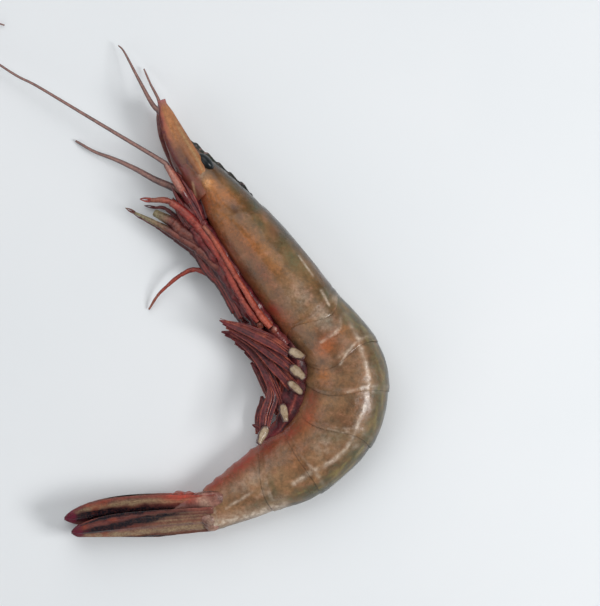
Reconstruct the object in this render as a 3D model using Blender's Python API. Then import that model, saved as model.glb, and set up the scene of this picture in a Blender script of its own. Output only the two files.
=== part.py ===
"""Raw tiger prawn, lying on its right side with the left side up.

Plan directions: headings are degrees from +X towards +Y, lengths are millimetres.
The head points to -X +Y, the back is on the outside of the curl, and the belly and
legs are on the inside. The body's middle plane is level, at a height of its own at
each place along the body, so that the shell rests on the surface at z = 0.
"""
import math

import bmesh
import bpy
from mathutils import Vector

MM = 0.001
GAP = 0.3

# Body shell. Each edge ring is a closed loop of points round the body.
RING_HALF = 12
CARAPACE_REAR = Vector((2.7, -2.7))
CARAPACE_LENGTH = 46.5
CARAPACE_HEADING = 127.5
CARAPACE_DEPTH = 18.0
CARAPACE_HALF_WIDTH = 8.7
CARAPACE_TILT = 43.0
CARAPACE_RINGS = 12
REAR_HALF_WIDTH = 8.7
REST_HEIGHT = 8.55

# Abdomen, one row for each segment: length along the middle, heading of the middle
# line, then depth, tilt, half width and mid-plane height of the rear edge.
ABDOMEN = (
    (12.2, -50.8, 19.9, 15.1, 8.75, 8.55),
    (9.3, -78.7, 21.9, -5.4, 8.65, 8.50),
    (11.2, -105.5, 21.5, -28.1, 8.2, 8.10),
    (12.0, -133.7, 19.9, -59.4, 7.3, 7.20),
    (10.1, -154.1, 18.2, -76.0, 6.3, 6.40),
    (19.4, -150.4, 10.4, -71.0, 4.0, 6.10),
)
# How far each edge bows towards the tail: at the middle of the side, and its skew
# towards the back, from the carapace's rear edge to the last segment's.
SEAMS = ((2.1, 5.0), (2.2, -5.0), (1.8, -3.0), (0.8, -4.0), (0.5, -1.0), (1.5, 1.0), (0.0, 0.0))
SEGMENT_RINGS = 7
FRONT_TUCK = 0.95
REAR_FLARE = 1.015

# Keel under the head shield, from behind to the front as shares of the shield's length.
FLOOR_START = 0.08
FLOOR_END = 0.84
FLOOR_RINGS = 9
FLOOR_DEPTH = 1.5
FLOOR_HALF_WIDTH = 2.6

# Rostrum: the toothed beak in the middle plane, over the eyes.
ROSTRUM_ROOT = Vector((-10.4, 26.4))
ROSTRUM_HEADING = 139.3
ROSTRUM_LENGTH = 27.3
ROSTRUM_TIP_RISE = 1.4
ROSTRUM_SUNK = 0.5
CREST_DROP = 1.6
ROSTRUM_TEETH = 7
TOOTH_HEIGHT = 0.85
ROSTRUM_HALF_THICKNESS = 0.8

# Eyes
EYE_PLACE = Vector((-24.4, 36.6))
EYE_RADIUS = 2.2
EYE_SPREAD = 4.0

# Tail
TAIL_HEADING = 186.5
TAIL_THICKNESS = 0.9
TELSON_LENGTH = 29.0
UROPOD_OUTER_LENGTH = 34.6
UROPOD_INNER_LENGTH = 33.2
FAN_ROLL = 40.0

# Antennal scales and feelers. A feeler or a leg is a root in plan, steps of length and
# heading, the root's rise over the middle plane, the tip's height and the root's radius.
SCALE_LENGTH = 17.5
SCALE_WIDTH = 6.6
SCALE_LAG = 1.6
FEELER_SPACING = 1.6
FEELER_TIP = 0.22
FEELER_THINNING = 5.0
FEELERS = (
    ("antenna_left", (-27.9, 30.6),
     ((3.2, 148), (3.9, 138), (3.3, 141), (13.6, 149), (12.1, 149), (12.1, 149), (5.8, 153),
      (6.2, 147), (7.1, 144), (4.7, 117), (3.7, 45), (3.9, 0), (3.0, -15)), 2.6, 0.5, 2.1),
    ("antenna_right", (-29.3, 28.3),
     ((4.6, 155), (5.1, 156), (5.4, 151), (6.0, 155), (5.8, 159), (5.7, 150)), -2.6, 0.6, 1.8),
    ("antennule_left", (-28.4, 38.6),
     ((5.0, 126), (8.2, 125), (3.3, 135), (8.0, 119), (7.7, 118), (2.4, 131)), 1.3, 2.0, 1.1),
    ("antennule_right", (-29.6, 37.6),
     ((5.4, 125), (8.0, 115), (3.7, 102), (4.7, 117), (4.5, 114)), -1.4, 1.2, 1.1),
)

# Jaw feet and walking legs, left from the front to the back, then right.
LEGS = (
    ("maxilliped_left", (-27.4, 22.6), ((3.0, 132), (2.5, 128), (2.0, 120)), 1.6, 7.6, 0.9),
    ("pereiopod_left_1", (-22.9, 13.8), ((9.2, 148), (2.9, 135), (5.9, 151)), 1.3, 7.4, 0.85),
    ("pereiopod_left_2", (-14.8, 1.6),
     ((8.5, 130), (8.5, 137), (5.3, 147), (5.8, 148), (10.8, 153)), 1.9, 7.0, 0.85),
    ("pereiopod_left_3", (-10.9, -4.9),
     ((7.3, 125), (11.4, 117), (10.5, 125), (9.6, 139), (8.1, 174)), 3.9, 10.0, 1.0),
    ("pereiopod_left_4", (-14.2, -1.1), ((8.0, 122), (9.0, 124), (5.6, 125)), -0.3, 8.0, 0.85),
    ("pereiopod_left_5", (-7.6, -6.3), ((5.0, 129), (8.9, 122), (12.5, 121), (5.2, 127)), 5.2, 13.0, 1.1),
    ("maxilliped_right", (-28.4, 21.4), ((3.0, 134), (2.5, 130), (2.0, 122)), -1.6, 5.0, 0.9),
    ("pereiopod_right_1", (-24.4, 12.6), ((8.6, 147), (2.9, 135), (3.5, 151)), -2.3, 4.2, 0.7),
    ("pereiopod_right_2", (-17.0, 1.0),
     ((8.5, 128), (8.5, 135), (5.3, 145), (5.8, 146), (7.0, 151)), -4.3, 2.4, 0.8),
    ("pereiopod_right_3", (-13.5, -6.0),
     ((7.0, 124), (11.0, 116), (10.5, 124), (9.0, 138), (6.0, 170)), -6.2, 1.0, 0.8),
    ("pereiopod_right_4", (-15.5, -3.5), ((8.0, 124), (8.0, 126), (7.0, 130), (5.0, 140)), -7.75, 0.75, 0.7),
    ("pereiopod_right_5", (-15.3, 1.6),
     ((6.2, 143), (7.3, 153), (4.4, 197), (4.6, 218), (3.7, 225), (4.3, 237)), -2.1, 0.7, 0.65),
)

# Swimming legs from the front to the back: root in plan, steps and rise, as for a leg.
SWIMMER_RADIUS = 2.0
SWIMMER_FLATNESS = 0.42
SWIMMER_DROOP = 0.4
SWIMMERS = {
    "left": (
        ((-2.9, -13.1), ((5.9, 146), (7.2, 155), (6.9, 161)), 6.0),
        ((-1.6, -17.6), ((7.4, 140), (6.9, 146), (6.7, 157)), 4.3),
        ((-1.9, -21.8), ((6.7, 130), (7.6, 133), (7.4, 152)), 2.6),
        ((-4.6, -28.0), ((6.3, 110), (7.3, 115), (6.2, 132), (4.1, 157)), 0.9),
        ((-9.4, -33.6), ((4.5, 82), (5.3, 75), (4.0, 104)), 4.3),
    ),
    "right": (
        ((-3.9, -14.2), ((5.9, 150), (6.6, 159), (5.5, 165)), -5.9),
        ((-3.0, -18.8), ((6.4, 142), (6.0, 150), (4.0, 158)), -4.2),
        ((-3.2, -23.0), ((5.7, 132), (5.6, 136), (4.0, 150)), -2.5),
        ((-5.4, -28.8), ((5.3, 112), (6.0, 118), (4.0, 130)), -0.8),
        ((-10.2, -34.2), ((4.0, 90), (3.5, 80), (2.5, 100)), -4.2),
    ),
}

SHELL = (0.27, 0.15, 0.075)
LEG_RED = (0.32, 0.09, 0.06)
SWIMMER = (0.12, 0.03, 0.035)
TAIL_BROWN = (0.16, 0.08, 0.06)
EYE_BLACK = (0.008, 0.010, 0.012)


def clear_scene():
    """Remove what the file holds, so that each run starts from nothing."""
    for item in list(bpy.data.objects):
        bpy.data.objects.remove(item, do_unlink=True)


def surface(name, colour, roughness):
    """A plain material with one colour."""
    made = bpy.data.materials.new(name)
    made.use_nodes = True
    shader = made.node_tree.nodes["Principled BSDF"]
    shader.inputs["Base Color"].default_value = (*colour, 1.0)
    shader.inputs["Roughness"].default_value = roughness
    shader.inputs["Metallic"].default_value = 0.0
    return made


def along(heading):
    """Unit vector in plan at a heading in degrees."""
    return Vector((math.cos(math.radians(heading)), math.sin(math.radians(heading))))


def smooth_step(low, high, value):
    """0 below low, 1 above high, and an even change between."""
    t = min(1.0, max(0.0, (value - low) / (high - low)))
    return t * t * (3.0 - 2.0 * t)


def curve_through(points, place):
    """Point on the smooth curve through equally numbered points, at a real-valued place."""
    index = min(len(points) - 2, max(0, int(math.floor(place))))
    t = place - index
    start, end = points[index], points[index + 1]
    before = points[index - 1] if index > 0 else start * 2.0 - end
    after = points[index + 2] if index + 2 < len(points) else end * 2.0 - start
    return 0.5 * (
        2.0 * start
        + (end - before) * t
        + (2.0 * before - 5.0 * start + 4.0 * end - after) * t * t
        + (3.0 * start - before - 3.0 * end + after) * t * t * t
    )


def add_object(name, mesh_builder, material):
    """Turn a bmesh in millimetres into a named object in metres."""
    bmesh.ops.recalc_face_normals(mesh_builder, faces=mesh_builder.faces)
    bmesh.ops.scale(mesh_builder, vec=(MM, MM, MM), verts=mesh_builder.verts)
    mesh = bpy.data.meshes.new(name)
    mesh_builder.to_mesh(mesh)
    mesh_builder.free()
    mesh.shade_smooth()
    mesh.set_sharp_from_angle(angle=math.radians(50.0))
    mesh.materials.append(material)
    made = bpy.data.objects.new(name, mesh)
    bpy.context.scene.collection.objects.link(made)
    return made


def loft(rings, paired_caps=False):
    """Skin closed rings of equal point counts, in order, into one closed body.

    With paired caps, each end is closed by strips across from one side of the ring
    to the other, which keeps a bowed end true. Otherwise an end is one flat face.
    """
    made = bmesh.new()
    loops = [[made.verts.new(point) for point in ring] for ring in rings]
    count = len(loops[0])
    for lower, upper in zip(loops, loops[1:]):
        for k in range(count):
            nearby = (k + 1) % count
            made.faces.new((lower[k], lower[nearby], upper[nearby], upper[k]))
    for end in (loops[0], loops[-1]):
        if not paired_caps:
            made.faces.new(end)
            continue
        half = count // 2
        made.faces.new((end[0], end[1], end[-1]))
        for k in range(1, half - 1):
            made.faces.new((end[k], end[k + 1], end[count - k - 1], end[count - k]))
        made.faces.new((end[half - 1], end[half], end[half + 1]))
    return made


def body_ring(back, belly, half_width, height, bow, heading):
    """Ring round the body between a back point and a belly point, bowed tailwards."""
    middle = (back + belly) / 2.0
    reach = (back - belly) / 2.0
    tailwards = along(heading)
    ring = []
    for k in range(2 * RING_HALF):
        angle = math.pi * k / RING_HALF
        upward = -math.cos(angle)
        sideways = math.sin(angle)
        fullness = abs(sideways) ** (0.85 if upward > 0.0 else 0.72)
        narrowing = 1.0 - 0.16 * max(0.0, -upward) ** 1.5
        plan = middle + reach * upward + tailwards * bow(upward)
        z = height + math.copysign(fullness * narrowing * half_width, sideways)
        ring.append(Vector((plan.x, plan.y, max(0.0, z))))
    return ring


def bow_of(middle, skew, fullness=REAR_FLARE):
    """Bow of an edge by the place between belly (-1) and back (+1) of a ring this full.

    Rings of two pieces that meet at one edge differ in fullness, and still bow alike.
    """
    def bow(upward):
        place = upward * fullness / REAR_FLARE
        return (1.0 - place * place) * (middle + skew * place)
    return bow


def abdomen_edges():
    """Back and belly points, half widths and heights at the seven edges of the abdomen."""
    centre = CARAPACE_REAR.copy()
    reach = along(CARAPACE_TILT) * CARAPACE_DEPTH / 2.0
    back, belly = [centre + reach], [centre - reach]
    widths, heights = [REAR_HALF_WIDTH], [REST_HEIGHT]
    for length, heading, depth, tilt, half_width, height in ABDOMEN:
        centre = centre + along(heading) * length
        reach = along(tilt) * depth / 2.0
        back.append(centre + reach)
        belly.append(centre - reach)
        widths.append(half_width)
        heights.append(height)
    return back, belly, widths, heights


def abdomen_ring(edges, place, fullness, shift):
    """Ring of the abdomen at a place between edge 0 and edge 6."""
    back_points, belly_points, widths, heights = edges
    back = curve_through(back_points, place)
    belly = curve_through(belly_points, place)
    half_width = curve_through(widths, place)
    height = curve_through(heights, place)
    middle = curve_through([seam[0] for seam in SEAMS], place)
    skew = curve_through([seam[1] for seam in SEAMS], place)
    across = back - belly
    heading = math.degrees(math.atan2(across.y, across.x)) - 90.0
    centre = (back + belly) / 2.0
    reach = across / 2.0 * fullness
    tail = along(heading) * shift
    ring = body_ring(
        centre + reach + tail, centre - reach + tail,
        half_width * fullness, height, bow_of(middle, skew, fullness), heading,
    )
    return ring


def abdomen_segment(number, edges, material):
    """One shell ring of the abdomen, tucked in at its front and flared at its rear."""
    rings = []
    for k in range(SEGMENT_RINGS):
        t = (k / (SEGMENT_RINGS - 1)) ** 1.15
        fullness = FRONT_TUCK + (1.0 - FRONT_TUCK) * smooth_step(0.0, 0.35, t)
        fullness += (REAR_FLARE - 1.0) * smooth_step(0.7, 1.0, t)
        shift = GAP * (0.5 - t)
        rings.append(abdomen_ring(edges, number - 1 + t, fullness, shift))
    return add_object(f"abdomen_{number}", loft(rings, paired_caps=True), material)


def carapace_edge(t):
    """Middle of the carapace in plan, half its depth as a vector, and its tilt."""
    centre = CARAPACE_REAR + along(CARAPACE_HEADING) * CARAPACE_LENGTH * t
    centre = centre + along(CARAPACE_TILT + 90.0) * GAP / 2.0
    tilt = CARAPACE_TILT + 37.0 * t ** 4
    depth = CARAPACE_DEPTH * (1.0 - 0.12 * t - 0.34 * t ** 4)
    return centre, along(tilt) * depth / 2.0, tilt


def carapace_ring(t):
    """Ring of the carapace, t = 0 at its rear edge and 1 at its front."""
    centre, reach, tilt = carapace_edge(t)
    half_width = CARAPACE_HALF_WIDTH * (1.0 + 0.12 * t - 0.56 * t ** 3)
    fade = (1.0 - t) ** 3
    middle, skew = SEAMS[0]
    crest_drop = along(tilt) * CREST_DROP * smooth_step(0.42, 0.68, t)
    return body_ring(
        centre + reach - crest_drop, centre - reach, half_width, REST_HEIGHT,
        bow_of(middle * fade, skew * fade, 1.0), tilt - 90.0,
    )


def prism(outline, low, high):
    """Upright prism on a plan outline."""
    return loft([[Vector((point.x, point.y, z)) for point in outline] for z in (low, high)])


def rostrum_outline():
    """Plan outline of the beak: teeth along the top, a plain lower edge."""
    forward = along(ROSTRUM_HEADING)
    upward = along(ROSTRUM_HEADING - 90.0)
    outline = [ROSTRUM_ROOT - forward * 1.5 - upward * 2.2]
    pitch = ROSTRUM_LENGTH / ROSTRUM_TEETH
    for k in range(ROSTRUM_TEETH):
        start = pitch * k
        rise = ROSTRUM_TIP_RISE * (start / ROSTRUM_LENGTH) ** 3
        rise -= ROSTRUM_SUNK * (1.0 - smooth_step(0.0, 0.2, start / ROSTRUM_LENGTH))
        outline.append(ROSTRUM_ROOT + forward * start + upward * rise)
        outline.append(ROSTRUM_ROOT + forward * (start + pitch * 0.72) + upward * (rise + TOOTH_HEIGHT))
        outline.append(ROSTRUM_ROOT + forward * (start + pitch * 0.85) + upward * (rise + 0.1))
    outline.append(ROSTRUM_ROOT + forward * ROSTRUM_LENGTH + upward * ROSTRUM_TIP_RISE * 1.6)
    outline.append(ROSTRUM_ROOT + forward * ROSTRUM_LENGTH * 0.86 - upward * 0.9)
    outline.append(ROSTRUM_ROOT + forward * ROSTRUM_LENGTH * 0.60 - upward * 3.0)
    outline.append(ROSTRUM_ROOT + forward * ROSTRUM_LENGTH * 0.12 - upward * 4.0)
    return outline


def ball(centre, radius):
    """A faceted ball."""
    made = bmesh.new()
    bmesh.ops.create_icosphere(made, subdivisions=2, radius=radius)
    bmesh.ops.translate(made, verts=made.verts, vec=centre)
    return made


def boolean(target, tool, operation):
    """Join a tool object to the target or cut it away, and remove the tool."""
    step = target.modifiers.new(operation.title(), "BOOLEAN")
    step.operation = operation
    step.solver = "EXACT"
    step.object = tool
    graph = bpy.context.evaluated_depsgraph_get()
    result = bpy.data.meshes.new_from_object(target.evaluated_get(graph))
    target.modifiers.remove(step)
    target.data = result
    result.name = target.name
    bpy.data.objects.remove(tool, do_unlink=True)


def carapace(material):
    """Head shield with its toothed beak and a socket on each side for an eye."""
    rings = [carapace_ring(k / (CARAPACE_RINGS - 1)) for k in range(CARAPACE_RINGS)]
    shell = add_object("carapace", loft(rings, paired_caps=True), material)
    low = REST_HEIGHT - ROSTRUM_HALF_THICKNESS
    high = REST_HEIGHT + ROSTRUM_HALF_THICKNESS
    beak = add_object("beak", prism(rostrum_outline(), low, high), material)
    boolean(shell, beak, "UNION")
    for side in (1, -1):
        centre = (EYE_PLACE.x, EYE_PLACE.y, REST_HEIGHT + side * EYE_SPREAD)
        socket = add_object("socket", ball(centre, EYE_RADIUS + GAP + 0.1), material)
        boolean(shell, socket, "DIFFERENCE")
    return shell


def thorax_floor(material):
    """Narrow keel under the head shield that the walking legs grow from."""
    rings = []
    for k in range(FLOOR_RINGS):
        t = FLOOR_START + (FLOOR_END - FLOOR_START) * k / (FLOOR_RINGS - 1)
        centre, reach, tilt = carapace_edge(t)
        ease = smooth_step(FLOOR_START - 0.08, FLOOR_START + 0.15, t) * smooth_step(0.95, 0.6, t)
        top = centre - reach - along(tilt) * (GAP + 0.1)
        bottom = top - along(tilt) * FLOOR_DEPTH * ease
        rings.append(
            body_ring(top, bottom, FLOOR_HALF_WIDTH * ease, REST_HEIGHT, bow_of(0.0, 0.0), tilt - 90.0)
        )
    return add_object("thorax_floor", loft(rings), material)


def path_points(root, steps, root_height, tip_height):
    """Joint places of a limb: root in plan, then steps of length and heading."""
    total = sum(length for length, _ in steps)
    place = Vector(root)
    travelled = 0.0
    points = [Vector((place.x, place.y, root_height))]
    for length, heading in steps:
        place = place + along(heading) * length
        travelled += length
        z = root_height + (tip_height - root_height) * (travelled / total) ** 2
        points.append(Vector((place.x, place.y, z)))
    return points


def round_ring(centre, direction, radius_plan, radius_up, sides):
    """Ring of points round a limb, square to its direction."""
    across = Vector((0.0, 0.0, 1.0)).cross(direction).normalized()
    upright = direction.cross(across).normalized()
    ring = []
    for k in range(sides):
        angle = 2.0 * math.pi * (k + 0.5) / sides
        ring.append(
            centre + across * math.cos(angle) * radius_plan + upright * math.sin(angle) * radius_up
        )
    return ring


def limb(name, points, radius_root, radius_tip, material, joints=True, sides=6, flatness=1.0,
         thinning=1.0):
    """Tapered limb along its joint places, swollen a little at each joint."""
    rings = []
    count = len(points) - 1

    def radius_at(share):
        return radius_tip + (radius_root - radius_tip) * (1.0 - share) ** thinning

    for k, point in enumerate(points):
        before = points[max(0, k - 1)]
        after = points[min(count, k + 1)]
        direction = (after - before).normalized()
        radius = radius_at(k / count)
        swell = 1.12 if joints and 0 < k < count else 1.0
        rings.append(round_ring(point, direction, radius * swell, radius * swell * flatness, sides))
        if joints and k < count:
            middle = point.lerp(points[k + 1], 0.5)
            straight = (points[k + 1] - point).normalized()
            radius = radius_at((k + 0.5) / count) * 0.92
            rings.append(round_ring(middle, straight, radius, radius * flatness, sides))
    return add_object(name, loft(rings), material)


def smooth_limb(points, spacing):
    """Evenly spaced points on the smooth curve through a limb's places."""
    length = sum((b - a).length for a, b in zip(points, points[1:]))
    count = max(4, int(round(length / spacing)))
    last = len(points) - 1
    return [curve_through(points, last * k / count) for k in range(count + 1)]


def blade(name, root, length, width, heading, roll, thickness, material,
          taper=0.55, widest=0.62, bend=0.0, point=0.12, rings_along=9):
    """Thin leaf-like plate: a ridge down the middle, thin edges and a rounded tip."""
    root = Vector(root)
    up = Vector((0.0, 0.0, 1.0))
    rings = []
    heading_now = heading
    centre = root
    step = length / (rings_along - 1)
    for k in range(rings_along):
        t = k / (rings_along - 1)
        forward = along(heading_now).to_3d()
        across = up.cross(forward) * math.cos(math.radians(roll)) + up * math.sin(math.radians(roll))
        normal = forward.cross(across).normalized()
        grow = taper + (1.0 - taper) * smooth_step(0.0, widest, t)
        close = math.sqrt(max(0.0, 1.0 - ((t - widest) / (1.0 - widest)) ** 2)) if t > widest else 1.0
        half = width / 2.0 * max(point, grow * close)
        thick = thickness / 2.0 * (1.0 - 0.35 * t)
        ring = []
        for place, lift in ((-1.0, 0.18), (-0.5, 0.75), (0.0, 1.15), (0.5, 0.75), (1.0, 0.18),
                            (1.0, -0.18), (0.5, -0.75), (0.0, -0.85), (-0.5, -0.75), (-1.0, -0.18)):
            ring.append(centre + across * half * place + normal * thick * lift)
        rings.append(ring)
        centre = centre + forward * step
        heading_now += bend / (rings_along - 1)
    return add_object(name, loft(rings), material)


def eyes(material):
    """Two balls in the sockets."""
    for label, side in (("left", 1), ("right", -1)):
        centre = (EYE_PLACE.x, EYE_PLACE.y, REST_HEIGHT + side * EYE_SPREAD)
        add_object(f"eye_{label}", ball(centre, EYE_RADIUS), material)


def tail(shell_material):
    """Telson in the middle plane and two blades on each side, folded under it."""
    h = ABDOMEN[-1][5]
    blade("telson", (-24.3, -59.0, h), TELSON_LENGTH, 4.6, 183.0, 90.0, 1.5,
          shell_material, taper=0.95, widest=0.05, point=0.10)
    for label, side in (("left", 1), ("right", -1)):
        blade(f"uropod_inner_{label}", (-25.9, -55.2, h + side * 2.8), UROPOD_INNER_LENGTH, 6.0,
              TAIL_HEADING - 0.7, -side * FAN_ROLL, TAIL_THICKNESS, shell_material)
        blade(f"uropod_outer_{label}", (-26.9, -51.5, h + side * 3.2), UROPOD_OUTER_LENGTH, 7.4,
              TAIL_HEADING - 1.2, -side * FAN_ROLL, TAIL_THICKNESS, shell_material)


def head_parts(shell_material, leg_material):
    """Antennal scales, the two long feelers and the two forked short ones."""
    for label, side in (("left", 1), ("right", -1)):
        back = 0.0 if side > 0 else SCALE_LAG
        blade(f"antennal_scale_{label}", (-29.0 - back, 37.0 - back, REST_HEIGHT + side * 4.4),
              SCALE_LENGTH, SCALE_WIDTH, 116.5, -side * 28.0, 0.9, shell_material,
              taper=1.0, widest=0.1, bend=-5.0, point=0.5)
        for name, root, steps, root_rise, tip_height, radius in FEELERS:
            if not name.endswith(label):
                continue
            points = path_points(root, steps, REST_HEIGHT + root_rise, tip_height)
            points = smooth_limb(points, FEELER_SPACING)
            limb(name, points, radius, FEELER_TIP, leg_material, joints=False, thinning=FEELER_THINNING)


def walking_legs(material):
    """Jaw feet and the five pairs of walking legs, swept forward along the head shield."""
    for name, root, steps, root_rise, tip_height, radius in LEGS:
        points = path_points(root, steps, REST_HEIGHT + root_rise, tip_height)
        limb(name, points, radius, radius * 0.45, material)


def swimming_legs(material):
    """Five pairs of swimming legs: a stout base that forks into a long and a short paddle."""
    for label, side in (("left", 1), ("right", -1)):
        for number, (root, steps, rise) in enumerate(SWIMMERS[label], start=1):
            z = REST_HEIGHT + rise
            points = path_points(root, steps, z, z - SWIMMER_DROOP)
            paddle = limb(f"pleopod_{label}_{number}", points, SWIMMER_RADIUS, 0.6, material, sides=8,
                          flatness=SWIMMER_FLATNESS)
            length = sum(step for step, _ in steps)
            heading = steps[0][1]
            short = ((length * 0.30, heading + 20.0), (length * 0.28, heading + 8.0))
            start = points[1]
            fork = path_points((start.x, start.y), short, start.z, start.z + side * 0.3)
            second = limb("fork", fork, SWIMMER_RADIUS * 0.62, 0.5, material, sides=8,
                          flatness=SWIMMER_FLATNESS)
            boolean(paddle, second, "UNION")


def centre_on_origin():
    """Move every piece so that the middle of the prawn's underside is the origin."""
    pieces = list(bpy.context.scene.collection.objects)
    low = Vector((math.inf, math.inf, math.inf))
    high = -low
    for piece in pieces:
        for vertex in piece.data.vertices:
            low = Vector(map(min, low, vertex.co))
            high = Vector(map(max, high, vertex.co))
    shift = Vector(((low.x + high.x) / 2.0, (low.y + high.y) / 2.0, low.z))
    for piece in pieces:
        piece.location = -shift
    print("origin moved by (mm)", [round(value / MM, 3) for value in shift])


def main():
    """Build the prawn."""
    clear_scene()
    shell = surface("grey-brown prawn shell", SHELL, 0.35)
    tail_shell = surface("dark tail shell", TAIL_BROWN, 0.4)
    leg = surface("red leg shell", LEG_RED, 0.4)
    paddle = surface("purple-brown swimming legs", SWIMMER, 0.45)
    eye = surface("black eye", EYE_BLACK, 0.15)
    edges = abdomen_edges()
    carapace(shell)
    for number in range(1, len(ABDOMEN) + 1):
        abdomen_segment(number, edges, shell)
    thorax_floor(paddle)
    eyes(eye)
    tail(tail_shell)
    head_parts(shell, leg)
    walking_legs(leg)
    swimming_legs(paddle)
    centre_on_origin()


main()
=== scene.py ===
# %% [markdown]
# # A raw tiger prawn, lying on its right side
# The plain solids of the prawn come packed at real size. This lesson gives them the finish of
# the real animal: a wet, thin shell in overlapping rings, a toothed beak, eyes, feelers, walking
# legs, swimming legs and a dark tail fan. The frame is loaded first and nothing in it is moved.

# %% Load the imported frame
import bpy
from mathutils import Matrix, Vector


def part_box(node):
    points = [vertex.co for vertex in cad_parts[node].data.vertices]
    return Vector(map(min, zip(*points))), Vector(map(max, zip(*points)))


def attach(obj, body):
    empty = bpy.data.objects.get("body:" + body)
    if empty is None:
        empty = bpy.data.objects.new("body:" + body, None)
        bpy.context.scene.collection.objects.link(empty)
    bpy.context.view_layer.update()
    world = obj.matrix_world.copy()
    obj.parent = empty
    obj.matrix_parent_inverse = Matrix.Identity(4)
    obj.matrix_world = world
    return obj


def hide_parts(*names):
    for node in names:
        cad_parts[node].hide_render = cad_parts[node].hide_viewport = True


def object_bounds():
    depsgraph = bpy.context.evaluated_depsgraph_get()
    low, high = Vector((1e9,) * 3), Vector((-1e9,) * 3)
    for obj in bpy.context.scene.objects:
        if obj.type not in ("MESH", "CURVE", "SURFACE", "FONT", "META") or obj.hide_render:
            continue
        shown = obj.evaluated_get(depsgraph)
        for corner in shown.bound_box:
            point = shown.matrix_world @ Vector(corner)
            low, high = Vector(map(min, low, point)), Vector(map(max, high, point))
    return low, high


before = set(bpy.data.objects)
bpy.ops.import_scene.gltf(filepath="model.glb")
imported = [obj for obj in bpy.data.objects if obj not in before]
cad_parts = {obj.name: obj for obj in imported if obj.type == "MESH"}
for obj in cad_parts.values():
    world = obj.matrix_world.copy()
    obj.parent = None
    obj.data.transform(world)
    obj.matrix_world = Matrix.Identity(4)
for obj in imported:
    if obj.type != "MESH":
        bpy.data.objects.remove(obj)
cad_low, cad_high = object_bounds()
print("solids:", len(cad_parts), "box (mm):", [round(v * 1000, 1) for v in cad_high - cad_low])

# %% Modules
import math
import random

import bmesh
import bpy
import numpy as np
from mathutils import Matrix
from mathutils import Vector
from mathutils import noise

# %% [markdown]
# The prawn was laid out on a plan in millimetres, seen from straight above: the middle of the
# picture is the plan's origin, +X runs right and +Y up. Headings are degrees from +X. The packed
# frame has its own origin, so one known place, the middle of the left eye, gives the shift.

# %% Units and the plan's place in the frame
MM = 0.001
UP = Vector((0.0, 0.0, 1.0))
REST_HEIGHT = 8.55
EYE_PLACE = Vector((-24.4, 36.6))
EYE_SPREAD = 4.0
SIDES = (("left", 1), ("right", -1))

eye_low, eye_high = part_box("eye_left")
eye_plan = Vector((EYE_PLACE.x, EYE_PLACE.y, REST_HEIGHT + EYE_SPREAD))
PLAN_SHIFT = (eye_low + eye_high) / 2.0 / MM - eye_plan
print("plan shifted by (mm)", [round(v, 2) for v in PLAN_SHIFT])


def along(heading):
    """Unit vector in plan at a heading in degrees."""
    return Vector((math.cos(math.radians(heading)), math.sin(math.radians(heading))))


def smooth_step(low, high, value):
    """0 below low, 1 above high, and an even change between."""
    t = min(1.0, max(0.0, (value - low) / (high - low)))
    return t * t * (3.0 - 2.0 * t)


def hump(value, middle, width):
    """1 at the middle, falling evenly to nothing some widths away."""
    return np.exp(-((value - middle) / width) ** 2)


def ramp(value, start, width):
    """0 at the start and 1 a width further on; with a negative width it falls instead."""
    return np.clip((value - start) / width, 0.0, 1.0)


def curve_through(points, place):
    """Point on the smooth curve through equally numbered points, at a real-valued place."""
    index = min(len(points) - 2, max(0, int(math.floor(place))))
    t = place - index
    start, end = points[index], points[index + 1]
    before = points[index - 1] if index > 0 else start * 2.0 - end
    after = points[index + 2] if index + 2 < len(points) else end * 2.0 - start
    return 0.5 * (
        2.0 * start
        + (end - before) * t
        + (2.0 * before - 5.0 * start + 4.0 * end - after) * t * t
        + (3.0 * start - before - 3.0 * end + after) * t * t * t
    )


# %% [markdown]
# ## Camera, floor and light
# The prawn was photographed from straight above. A long lens a good way up keeps the upright
# edges from leaning outwards. The floor is a plain pale sheet. A small lamp on the right, over
# the back of the prawn, draws the wet streak along the shell. A large one over the head and a
# weak one over the belly light the rest, and a pale sky fills the shadows.

# %% Camera
PICTURE_LONG_SIDE = 157.56
CAMERA_HEIGHT = 1300.0
SENSOR = 36.0

lens_data = bpy.data.cameras.new("camera")
lens_data.sensor_width = SENSOR
lens_data.lens = SENSOR * (CAMERA_HEIGHT - REST_HEIGHT) / PICTURE_LONG_SIDE
camera = bpy.data.objects.new("camera", lens_data)
camera.location = Vector((PLAN_SHIFT.x, PLAN_SHIFT.y, CAMERA_HEIGHT)) * MM
bpy.context.scene.collection.objects.link(camera)
bpy.context.scene.camera = camera
bpy.context.scene.view_settings.view_transform = "Standard"
print("lens (mm):", round(lens_data.lens, 1))


# %% Colours and nodes
def linear(hex_code):
    """Linear colour of an sRGB hex value."""
    channels = []
    for start in (1, 3, 5):
        value = int(hex_code[start:start + 2], 16) / 255.0
        channels.append(value / 12.92 if value <= 0.04045 else ((value + 0.055) / 1.055) ** 2.4)
    return (*channels, 1.0)


def add_node(tree, kind, links=None, values=None, **settings):
    """Add a node, set its options and its inputs' values, and link what feeds it."""
    node = tree.nodes.new(kind)
    for key, value in settings.items():
        setattr(node, key, value)
    for key, value in (values or {}).items():
        node.inputs[key].default_value = value
    for key, source in (links or {}).items():
        tree.links.new(source, node.inputs[key])
    return node


def per_mm(size):
    """Pattern scale in object space for features of this size in millimetres."""
    return 1.0 / (size * MM)


def noise_over(tree, size, detail, roughness=0.5):
    """Noise over the piece, with features of a size in millimetres."""
    coords = add_node(tree, "ShaderNodeTexCoord").outputs["Object"]
    values = {"Scale": per_mm(size), "Detail": detail, "Roughness": roughness}
    return add_node(tree, "ShaderNodeTexNoise", {"Vector": coords}, values).outputs["Fac"]


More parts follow.
